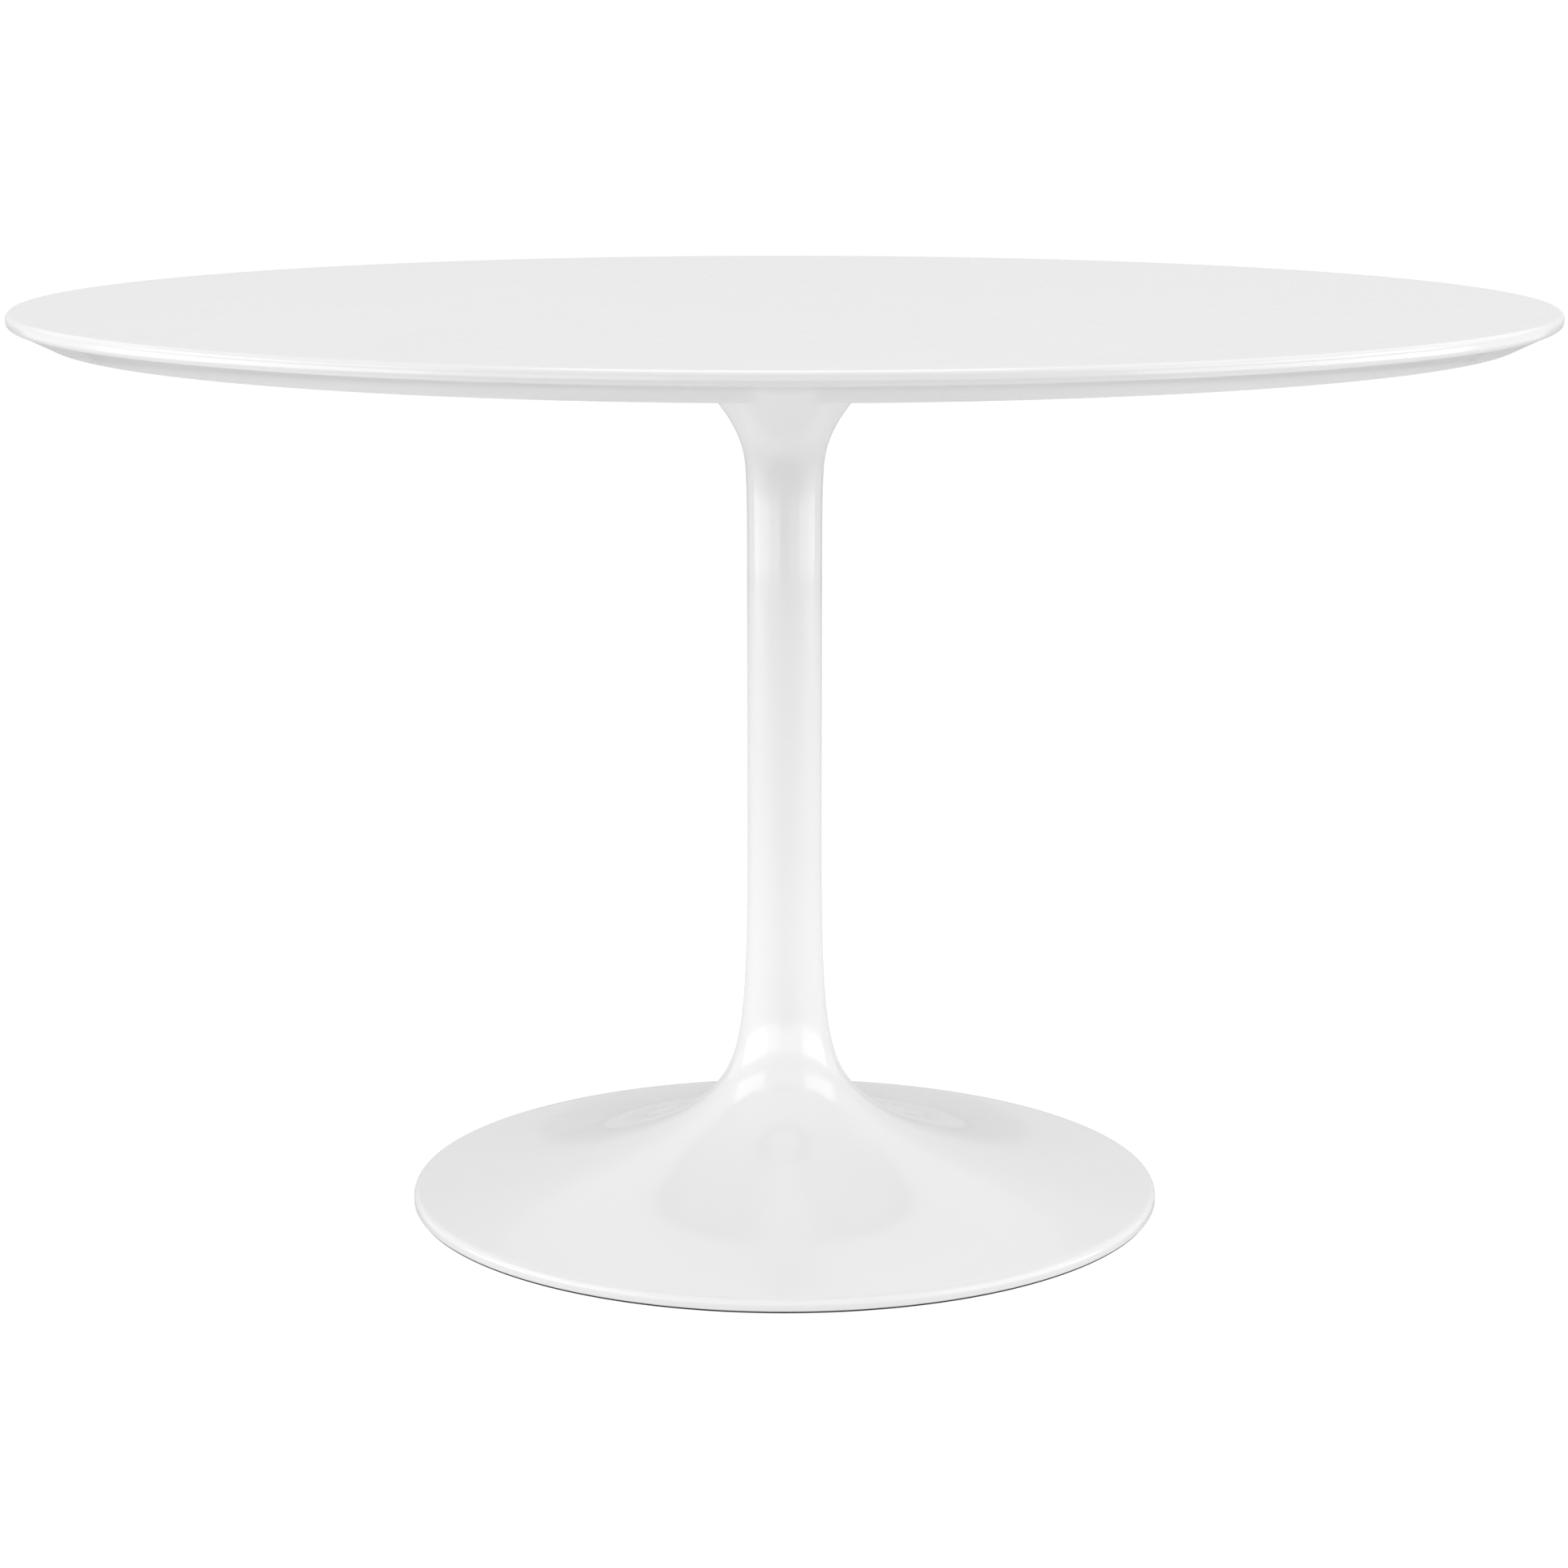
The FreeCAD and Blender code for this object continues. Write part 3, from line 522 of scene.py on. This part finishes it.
def insert_brass():
    """Plain brass, dulled in patches."""
    shader = Shader("insert_brass", 0.35, metallic=1.0)
    cloud = shader.noise(500, detail=4.0)
    tone = shader.mix(shader.between(cloud, 0, 1), (0.55, 0.38, 0.14), (0.78, 0.57, 0.25))
    shader.colour(tone)
    shader.roughness(shader.between(cloud, 0.28, 0.5))
    return shader.material


def ballast_iron():
    """Sand-cast iron under thin black paint, rusted through in a few spots."""
    shader = Shader("ballast_iron", 0.7)
    patch = shader.noise(16, detail=5.0, roughness=0.65)
    spots = shader.noise(130, detail=4.0, roughness=0.7)
    tone = shader.mix(shader.between(patch, 0, 1), grey(0.030), grey(0.060, 0.05))
    tone = shader.mix(shader.between(spots, 0, 0.8, 0.64, 0.76), tone, (0.13, 0.055, 0.028))
    shader.colour(tone)
    shader.roughness(shader.between(patch, 0.6, 0.85))
    sand = shader.bump(shader.noise(900, detail=3.0, roughness=0.6), 0.2 * MM)
    shader.bump(patch, 0.6 * MM, 0.5, after=sand)
    return shader.material


MATERIALS = {
    "board_lacquer": board_lacquer(),
    "pedestal_lacquer": pedestal_lacquer(),
    "ring_rubber": ring_rubber(),
    "black_powder_coat": black_powder_coat(),
    "zinc_plated_steel": zinc_plated_steel(),
    "insert_brass": insert_brass(),
    "ballast_iron": ballast_iron(),
}


def dress(piece, slot, *nodes):
    """Give a new piece its material, its body and the CAD nodes it stands for."""
    piece.data.materials.append(MATERIALS[slot])
    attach(piece, ROOT)
    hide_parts(*nodes)
    return piece


def dress_cad_nodes():
    """Every CAD node takes the material of its slot in the record."""
    for entry in frame["record"]["subparts"]:
        node = frame["nodes"][entry["node"]]
        node.data.materials.clear()
        node.data.materials.append(MATERIALS[entry["material_slot"]])


# ---- pieces -----------------------------------------------------------------

def make_board():
    """The board, with its rounded nose, long bevel and eased corners."""
    nose_radius = TOP_RADIUS - NOSE_ROUND
    nose_bottom = BOARD_TOP - NOSE_HEIGHT
    flat_radius = TOP_RADIUS - BEVEL_WIDTH
    under = rounded(
        [(0.0, BOARD_BOTTOM), (flat_radius, BOARD_BOTTOM), (nose_radius, nose_bottom)],
        BOARD_CORNER_ROUND,
    )
    rings = [(share * flat_radius, BOARD_BOTTOM) for share in UNDERSIDE_RINGS]
    outline = under[:1] + rings + under[1:-1]
    outline += arc((nose_radius, nose_bottom + NOSE_ROUND), NOSE_ROUND, -90, 0, 14)
    outline += arc((nose_radius, BOARD_TOP - NOSE_ROUND), NOSE_ROUND, 0, 90, 14)
    outline += [(share * nose_radius, BOARD_TOP) for share in TOP_RINGS]
    outline.append((0.0, BOARD_TOP))
    board = lathe("board", outline, BOARD_SEGMENTS, closed=False)
    seat_top = BOARD_BOTTOM + INSERT_SEAT_DEPTH
    hole_top = BOARD_BOTTOM + INSERT_HOLE_DEPTH
    hole = [
        (0.0, BOARD_BOTTOM - CUT_PAST),
        (INSERT_SEAT_RADIUS, BOARD_BOTTOM - CUT_PAST),
        (INSERT_SEAT_RADIUS, seat_top),
        (INSERT_HOLE_RADIUS, seat_top),
        (INSERT_HOLE_RADIUS, hole_top),
        (0.0, hole_top),
    ]
    drill(board, around(SCREW_COUNT, SCREW_CIRCLE), hole)
    dress(board, "board_lacquer", "table_top")


def make_casting():
    """The pedestal's shell: outside from the rim up, inside back down."""
    rim_round_centre = (
        BASE_RADIUS - RIM_ROUND,
        RIM_HEIGHT - RIM_ROUND * math.cos(BELL_SLOPE),
    )
    edge_centre = (BASE_RADIUS - RIM_EDGE_ROUND, RIM_BOTTOM + RIM_EDGE_ROUND)
    groove_top = RIM_BOTTOM + GROOVE_HEIGHT
    column = evenly(BELL[-1], FLARE[0], 14)

    outline = [
        (RIM_INNER, RIM_BOTTOM),
        (TONGUE_RADIUS - GROOVE_HALF_WIDTH, RIM_BOTTOM),
        (TONGUE_RADIUS - GROOVE_HALF_WIDTH, groove_top),
        (TONGUE_RADIUS + GROOVE_HALF_WIDTH, groove_top),
        (TONGUE_RADIUS + GROOVE_HALF_WIDTH, RIM_BOTTOM),
    ]
    outline += arc(edge_centre, RIM_EDGE_ROUND, -90, 0, 6)
    outline += arc(rim_round_centre, RIM_ROUND, 0, 90 - math.degrees(BELL_SLOPE), 14)
    outline += BELL[1:] + column + FLARE[:-1]
    outline += rounded(
        [
            FLARE[-1],
            (FLARE_RADIUS, PEDESTAL_TOP),
            (WEB_HOLE_RADIUS, PEDESTAL_TOP),
            (WEB_HOLE_RADIUS, WEB_BOTTOM),
        ],
        FLARE_LIP_ROUND,
    )
    inner_flare = [p for p in inset(FLARE, -WALL) if p[1] < WEB_BOTTOM]
    inner_bell = [p for p in inset(BELL, -WALL) if p[0] < RIM_INNER]
    outline += inner_flare[::-1] + inner_bell[::-1]
    casting = lathe("pedestal_casting", outline, CASTING_SEGMENTS, closed=True)
    pin_hole = plain_hole(PIN_HOLE_RADIUS, WEB_BOTTOM - CUT_PAST, PEDESTAL_TOP + CUT_PAST)
    drill(casting, around(PIN_COUNT, PIN_CIRCLE), pin_hole)
    dress(casting, "pedestal_lacquer", "pedestal")


def rib_shape(turn):
    """One rib, standing on edge along a radius, its edges slightly eased."""
    half_wall = WALL / 2
    top_disc = box_radius("ballast_disc_upper") + RIB_CLEARANCE
    wide_disc = box_radius("ballast_disc_lower") + RIB_CLEARANCE
    rim_level = RIM_HEIGHT - WALL
    inner_edge = COLUMN_RADIUS - half_wall
    rim_edge = RIM_INNER + RIB_BITE
    # The rib stops inside the wall, where it would get narrower than its tip.
    curve = [
        point
        for point in inset(BELL, -half_wall)
        if inner_edge + RIB_TIP_WIDTH < point[0] < rim_edge
    ]
    path = curve[::-1] + [
        (rim_edge, rim_level),
        (wide_disc, rim_level),
        (wide_disc, DISC_JOINT + RIB_CLEARANCE),
        (top_disc, DISC_JOINT + RIB_CLEARANCE),
        (top_disc, DISC_TOP + RIB_CLEARANCE),
        (inner_edge, DISC_TOP + RIB_CLEARANCE),
        (inner_edge, curve[-1][1]),
    ]
    eased = inset_loop(path, RIB_EDGE)
    cos, sin = math.cos(turn), math.sin(turn)
    vertices = []
    for loop, across in (
        (eased, -RIB_HALF_THICKNESS),
        (path, -RIB_HALF_THICKNESS + RIB_EDGE),
        (path, RIB_HALF_THICKNESS - RIB_EDGE),
        (eased, RIB_HALF_THICKNESS),
    ):
        vertices += [(r * cos - across * sin, r * sin + across * cos, z) for r, z in loop]
    return vertices, skinned(len(path))


def boss_shape(place):
    """One ballast boss, from the disc joint up into the sloping wall."""
    half_wall = WALL / 2
    curve = np.array(inset(BELL, -half_wall))[::-1]
    turns = 2 * math.pi * np.arange(BOSS_SEGMENTS) / BOSS_SEGMENTS
    bore_top = DISC_JOINT + BOSS_THREAD_DEPTH

    def ring(radius, height):
        """A ring at a height or, with none given, on the middle of the wall."""
        points = []
        for turn in turns:
            x = place[0] + radius * math.cos(turn)
            y = place[1] + radius * math.sin(turn)
            level = height
            if height is None:
                level = float(np.interp(math.hypot(x, y), curve[:, 0], curve[:, 1]))
            points.append((x, y, level))
        return points

    vertices = (
        ring(BOSS_RADIUS, None)
        + ring(BOSS_RADIUS, DISC_JOINT)
        + ring(BOSS_THREAD_RADIUS, DISC_JOINT)
        + ring(BOSS_THREAD_RADIUS, bore_top)
    )
    return vertices, skinned(BOSS_SEGMENTS)


def make_inside_of_bell():
    """The casting's ribs and ballast bosses, under the bell."""
    turns = [2 * math.pi * i / RIB_COUNT for i in range(RIB_COUNT)]
    ribs = make_mesh("pedestal_ribs", *joined([rib_shape(turn) for turn in turns]))
    dress(ribs, "pedestal_lacquer", "pedestal")
    shapes = [boss_shape(place) for place in BOSS_PLACES]
    bosses = make_mesh("pedestal_bosses", *joined(shapes))
    dress(bosses, "pedestal_lacquer", "pedestal")


def make_ring():
    """The rubber ring the table stands on, with its tongue in the rim."""
    radius = box_radius("foot_ring")
    tongue_top = RIM_BOTTOM + TONGUE_HEIGHT
    middle = (RIM_INNER + TONGUE_RADIUS) / 2
    corners = [
        (middle, FLOOR),
        (radius, FLOOR),
        (radius, RIM_BOTTOM),
        (TONGUE_RADIUS + TONGUE_HALF_WIDTH, RIM_BOTTOM),
        (TONGUE_RADIUS + TONGUE_HALF_WIDTH, tongue_top),
        (TONGUE_RADIUS - TONGUE_HALF_WIDTH, tongue_top),
        (TONGUE_RADIUS - TONGUE_HALF_WIDTH, RIM_BOTTOM),
        (RIM_INNER, RIM_BOTTOM),
        (RIM_INNER, FLOOR),
        (middle, FLOOR),
    ]
    outline = rounded(corners, RING_EDGE)[:-1]
    ring = lathe("rubber_ring", outline, CASTING_SEGMENTS, closed=True)
    dress(ring, "ring_rubber", "foot_ring")


def disc_outline(inner, outer, bottom, top, edge):
    """A flat disc with a hole and rounded outer edges."""
    middle = (inner + outer) / 2
    outside = [(middle, bottom), (outer, bottom), (outer, top), (middle, top)]
    return [(inner, top), (inner, bottom), *rounded(outside, edge)]


def make_plate():
    """The mounting plate, its edge broken, drilled for screws and pins."""
    low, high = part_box("mounting_plate")
    radius = box_radius("mounting_plate")
    middle = radius / 2
    outside = [(middle, low.z), (radius, low.z), (radius, high.z), (middle, high.z)]
    outline = [(0.0, low.z), *rounded(outside, PLATE_EDGE), (0.0, high.z)]
    plate = lathe("screw_plate", outline, PLATE_SEGMENTS, closed=False)
    for count, circle, hole_radius in (
        (SCREW_COUNT, SCREW_CIRCLE, SCREW_HOLE_RADIUS),
        (PIN_COUNT, PIN_CIRCLE, PIN_HOLE_RADIUS),
    ):
        hole = plain_hole(hole_radius, low.z - CUT_PAST, high.z + CUT_PAST)
        drill(plate, around(count, circle), hole)
    dress(plate, "black_powder_coat", "mounting_plate")


def make_ballast():
    """The two cast-iron discs; the wide one is countersunk for its screws."""
    low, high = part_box("ballast_disc_lower")
    radius = box_radius("ballast_disc_lower")
    outline = disc_outline(DISC_RECESS_RADIUS, radius, low.z, high.z, DISC_EDGE)
    wide = lathe("ballast_wide_disc", outline, WIDE_DISC_SEGMENTS, closed=True)
    lean = (DISC_SINK_RADIUS - DISC_HOLE_RADIUS) / DISC_SINK_DEPTH
    hole = [
        (0.0, low.z - CUT_PAST),
        (DISC_SINK_RADIUS + lean * CUT_PAST, low.z - CUT_PAST),
        (DISC_HOLE_RADIUS, low.z + DISC_SINK_DEPTH),
        (DISC_HOLE_RADIUS, high.z + CUT_PAST),
        (0.0, high.z + CUT_PAST),
    ]
    drill(wide, BOSS_PLACES, hole)
    dress(wide, "ballast_iron", "ballast_disc_lower")

    low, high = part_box("ballast_disc_upper")
    radius = box_radius("ballast_disc_upper")
    outline = disc_outline(ROD_HOLE_RADIUS, radius, low.z, high.z, DISC_EDGE)
    thick = lathe("ballast_thick_disc", outline, THICK_DISC_SEGMENTS, closed=True)
    dress(thick, "ballast_iron", "ballast_disc_upper")


def make_rod():
    """The tie rod, with a thread cut on each end."""
    low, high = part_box("tie_rod")
    radius = high.x
    step = ROD_PITCH / ROD_STEPS_PER_TURN
    thread_steps = int(ROD_THREAD_LENGTH / step)
    levels = [low.z + i * step for i in range(thread_steps + 1)]
    levels += [high.z - (thread_steps - i) * step for i in range(thread_steps + 1)]
    vertices = [(0.0, 0.0, low.z)]
    for level in levels:
        end = min(level - low.z, high.z - level)
        run_out = min(1.0, (ROD_THREAD_LENGTH - end) / ROD_PITCH)
        for i in range(ROD_SEGMENTS):
            share = i / ROD_SEGMENTS
            wave = abs((level / ROD_PITCH - share) % 1.0 - 0.5) * 2
            depth = ROD_THREAD_DEPTH * wave * max(0.0, run_out)
            chamfer = max(0.0, ROD_CHAMFER - end)
            reach = min(radius - depth, radius - chamfer)
            turn = 2 * math.pi * share
            vertices.append((reach * math.cos(turn), reach * math.sin(turn), level))
    vertices.append((0.0, 0.0, high.z))
    faces = []
    last = len(levels) - 1
    for i in range(ROD_SEGMENTS):
        j = (i + 1) % ROD_SEGMENTS
        faces.append((0, 1 + j, 1 + i))
        for number in range(last):
            low_row = 1 + number * ROD_SEGMENTS
            high_row = low_row + ROD_SEGMENTS
            faces.append((low_row + i, low_row + j, high_row + j, high_row + i))
        top_row = 1 + last * ROD_SEGMENTS
        faces.append((top_row + i, top_row + j, len(vertices) - 1))
    dress(make_mesh("threaded_rod", vertices, faces), "zinc_plated_steel", "tie_rod")


# ---- stage, light and camera --------------------------------------------------

# The ground and the surroundings are shown white; the room's own light is softer.
ROOM_RADIANCE = 0.45
WHITE_RADIANCE = 1.15
FLOOR_HALF_WIDTH = 30.0
FLOOR_ROUGHNESS = 0.9
FLOOR_WHITE = 0.7
# Painted shade: the floor's grey far in front stands for the dark room before the table, and
# the board's nose mirrors it.
FRONT_FLOOR_PAINTED_SHADE = 0.25
FLOOR_SHOWN_WHITE = 0.85

# Where the floor changes: from a start to an end, in metres.  Y runs from the
# front of the table to its back, and the rest are distances from its centre.
PAINTED_SHADE_TO_WHITE = (-1.7, -0.8)
LIT_FROM_FRONT = (-1.2, -0.6)
LIT_TOWARD_BACK = (0.1, 0.5)
LIT_FROM_FOOT = (0.3, 0.6)
LIT_TO_EDGE = (0.6, 1.4)
LIT_FLOOR_SHARE = 0.85
LIT_BACK_SHARE = 0.2
LIT_FLOOR_RADIANCE = 1.2

# Heights of the upright panels, which stand on a circle.  Seen at a low angle the
# board's top mirrors the band between 0.75 and 1.6 m, so that band is even.
PANEL_CIRCLE = 3.4
PANEL_SPREAD = 30
PANEL_FOOT = 0.02
FRONT_PANEL_FOOT = 0.1
BACK_SPLIT = 0.46
BAND_BOTTOM = 0.75
BAND_TOP = 1.6
HIGH_PANEL_TOP = 3.1
CEILING = 3.2
CEILING_TILE = 1.8
CEILING_ROW = 3 * CEILING_TILE

# The camera that fits the photograph's outlines; the tilt is downward.
SENSOR_WIDTH = 36.0
LENS = 87.157
CAMERA_PLACE = (-0.0005, -3.0044, 0.9457)
CAMERA_TILT = 11.350


def white_to_look_at(nodes, links, lit, white, share):
    """Show the ground or the surroundings as plain white in the picture.

    Their light on the table is that of the lit shader, whatever is shown.
    """
    seen = nodes.new("ShaderNodeLightPath")
    amount = nodes.new("ShaderNodeMath")
    amount.operation = "MULTIPLY"
    amount.inputs[1].default_value = share
    links.new(seen.outputs["Is Camera Ray"], amount.inputs[0])
    mix = nodes.new("ShaderNodeMixShader")
    links.new(amount.outputs[0], mix.inputs["Fac"])
    links.new(lit, mix.inputs[1])
    links.new(white, mix.inputs[2])
    return mix.outputs["Shader"]


def ramp(nodes, links, source, limits, low, high):
    """A smooth change from one number to another, between the source's limits."""
    node = nodes.new("ShaderNodeMapRange")
    node.interpolation_type = "SMOOTHSTEP"
    for name, value in (
        ("From Min", limits[0]),
        ("From Max", limits[1]),
        ("To Min", low),
        ("To Max", high),
    ):
        node.inputs[name].default_value = value
    links.new(source, node.inputs["Value"])
    return node.outputs["Result"]


def make_floor():
    """A plain white floor, wide enough to run out of every view.

    It glows softly round the foot. Far in front its colour falls off to grey, which is painted
    shade standing for the dark side of the room before the table.
    """
    half = FLOOR_HALF_WIDTH
    corners = [(-half, -half), (half, -half), (half, half), (-half, half)]
    floor = make_mesh("floor", [(x, y, FLOOR) for x, y in corners], [(0, 1, 2, 3)])
    material = bpy.data.materials.new("white_floor")
    material.use_nodes = True
    nodes = material.node_tree.nodes
    links = material.node_tree.links
    surface = nodes["Principled BSDF"]
    surface.inputs["Roughness"].default_value = FLOOR_ROUGHNESS
    surface.inputs["Specular IOR Level"].default_value = 0.0
    place = nodes.new("ShaderNodeTexCoord").outputs["Object"]
    axes = nodes.new("ShaderNodeSeparateXYZ")
    links.new(place, axes.inputs["Vector"])
    depth = axes.outputs["Y"]
    # Painted shade: the floor's colour runs from grey in front to white, darkening what the
    # table mirrors from the front.
    tone = ramp(nodes, links, depth, PAINTED_SHADE_TO_WHITE, FRONT_FLOOR_PAINTED_SHADE, FLOOR_WHITE)
    links.new(tone, surface.inputs["Base Color"])

    length = nodes.new("ShaderNodeVectorMath")
    length.operation = "LENGTH"
    links.new(place, length.inputs[0])
    distance = length.outputs["Value"]
    share = ramp(nodes, links, depth, LIT_FROM_FRONT, 0.0, LIT_FLOOR_SHARE)
    for source, limits, low, high in (
        (depth, LIT_TOWARD_BACK, 1.0, LIT_BACK_SHARE),
        (distance, LIT_FROM_FOOT, 0.0, 1.0),
        (distance, LIT_TO_EDGE, 1.0, 0.0),
    ):
        product = nodes.new("ShaderNodeMath")
        product.operation = "MULTIPLY"
        links.new(share, product.inputs[0])
        links.new(ramp(nodes, links, source, limits, low, high), product.inputs[1])
        share = product.outputs[0]
    lamp = nodes.new("ShaderNodeEmission")
    lamp.inputs["Strength"].default_value = LIT_FLOOR_RADIANCE
    lit = nodes.new("ShaderNodeMixShader")
    links.new(share, lit.inputs["Fac"])
    links.new(surface.outputs["BSDF"], lit.inputs[1])
    links.new(lamp.outputs["Emission"], lit.inputs[2])

    glow = nodes.new("ShaderNodeEmission")
    glow.inputs["Strength"].default_value = WHITE_RADIANCE
    shown = white_to_look_at(
        nodes, links, lit.outputs["Shader"], glow.outputs["Emission"], FLOOR_SHOWN_WHITE
    )
    links.new(shown, nodes["Material Output"].inputs["Surface"])
    floor.data.materials.append(material)


def make_world():
    """White surroundings to look at, a softer grey room to light by."""
    world = bpy.data.worlds.new("studio")
    bpy.context.scene.world = world
    world.use_nodes = True
    nodes = world.node_tree.nodes
    links = world.node_tree.links
    room = nodes["Background"]
    room.inputs["Color"].default_value = (1, 1, 1, 1)
    room.inputs["Strength"].default_value = ROOM_RADIANCE
    white = nodes.new("ShaderNodeBackground")
    white.inputs["Color"].default_value = (1, 1, 1, 1)
    white.inputs["Strength"].default_value = WHITE_RADIANCE
    shown = white_to_look_at(
        nodes, links, room.outputs["Background"], white.outputs["Background"], 1.0
    )
    links.new(shown, nodes["World Output"].inputs["Surface"])


def softbox(name, place, target, width, height, radiance):
    """A rectangular soft light of even brightness, aimed at a point."""
    light = bpy.data.lights.new(name, "AREA")
    light.shape = "RECTANGLE"
    light.size = width
    light.size_y = height
    light.energy = radiance * width * height * math.pi
    box = bpy.data.objects.new(name, light)
    box.location = place
    aim = Vector(target) - Vector(place)
    box.rotation_euler = aim.to_track_quat("-Z", "Y").to_euler()
    box.visible_camera = False
    bpy.context.scene.collection.objects.link(box)


def panels(name, sides, bottom, top, radiance):
    """Upright lights on a circle about the table.

    A side is the light's angle in degrees, from the front toward the right.
    """
    width = 2 * PANEL_CIRCLE * math.tan(math.radians(PANEL_SPREAD / 2))
    middle = (bottom + top) / 2
    for side in sides:
        turn = math.radians(side)
        place = (PANEL_CIRCLE * math.sin(turn), -PANEL_CIRCLE * math.cos(turn), middle)
        softbox(name, place, (0, 0, middle), width, top - bottom, radiance)


def ceiling_light(name, x, y, depth, radiance):
    """A light that faces straight down; its depth runs from front to back."""
    softbox(name, (x, y, CEILING), (x, y, 0), CEILING_TILE, depth, radiance)


def make_lights():
    """Upright panels, brightest low down at the sides and in front, and ceiling lights."""
    for name, sides, bottom, top, radiance in (
        ("left_low", (-90, -60), PANEL_FOOT, BAND_BOTTOM, 2.8),
        ("left_front_low", (-30,), PANEL_FOOT, BAND_BOTTOM, 1.9),
        ("front_low", (0,), FRONT_PANEL_FOOT, BAND_BOTTOM, 1.3),
        ("right_front_low", (30,), PANEL_FOOT, BAND_BOTTOM, 1.2),
        ("right_low", (60, 90), PANEL_FOOT, BAND_BOTTOM, 2.5),
        ("rear_low", (120, -120), PANEL_FOOT, BAND_BOTTOM, 0.6),
        ("back_lowest", (150, 180, 210), PANEL_FOOT, BACK_SPLIT, 0.2),
        ("back_low", (150, 180, 210), BACK_SPLIT, BAND_BOTTOM, 0.35),
        ("band", range(0, 360, PANEL_SPREAD), BAND_BOTTOM, BAND_TOP, 0.35),
        ("side_high", (-90, -60, 60, 90), BAND_TOP, HIGH_PANEL_TOP, 1.8),
        ("front_high", (-30, 0, 30), BAND_TOP, HIGH_PANEL_TOP, 0.45),
        ("rear_high", (120, 150, 180, 210, 240), BAND_TOP, HIGH_PANEL_TOP, 0.55),
    ):
        panels(name, sides, bottom, top, radiance)
    ceiling_light("overhead", 0, 0, CEILING_TILE, 1.7)
    ceiling_light("front_overhead", 0, -CEILING_TILE, CEILING_TILE, 0.5)
    ceiling_light("right_overhead", CEILING_TILE, 0, CEILING_ROW, 0.5)
    ceiling_light("left_overhead", -CEILING_TILE, 0, CEILING_ROW, 0.25)


def make_camera():
    """The camera stands in front, a little above the table, looking down."""
    data = bpy.data.cameras.new("camera")
    data.sensor_width = SENSOR_WIDTH
    data.lens = LENS
    camera = bpy.data.objects.new("camera", data)
    camera.location = CAMERA_PLACE
    camera.rotation_euler = (math.radians(90 - CAMERA_TILT), 0, 0)
    bpy.context.scene.collection.objects.link(camera)
    bpy.context.scene.camera = camera


dress_cad_nodes()
make_board()
make_casting()
make_inside_of_bell()
make_ring()
make_plate()
make_ballast()
make_rod()
make_floor()
make_world()
make_lights()
make_camera()
bpy.context.scene.view_settings.view_transform = "Standard"
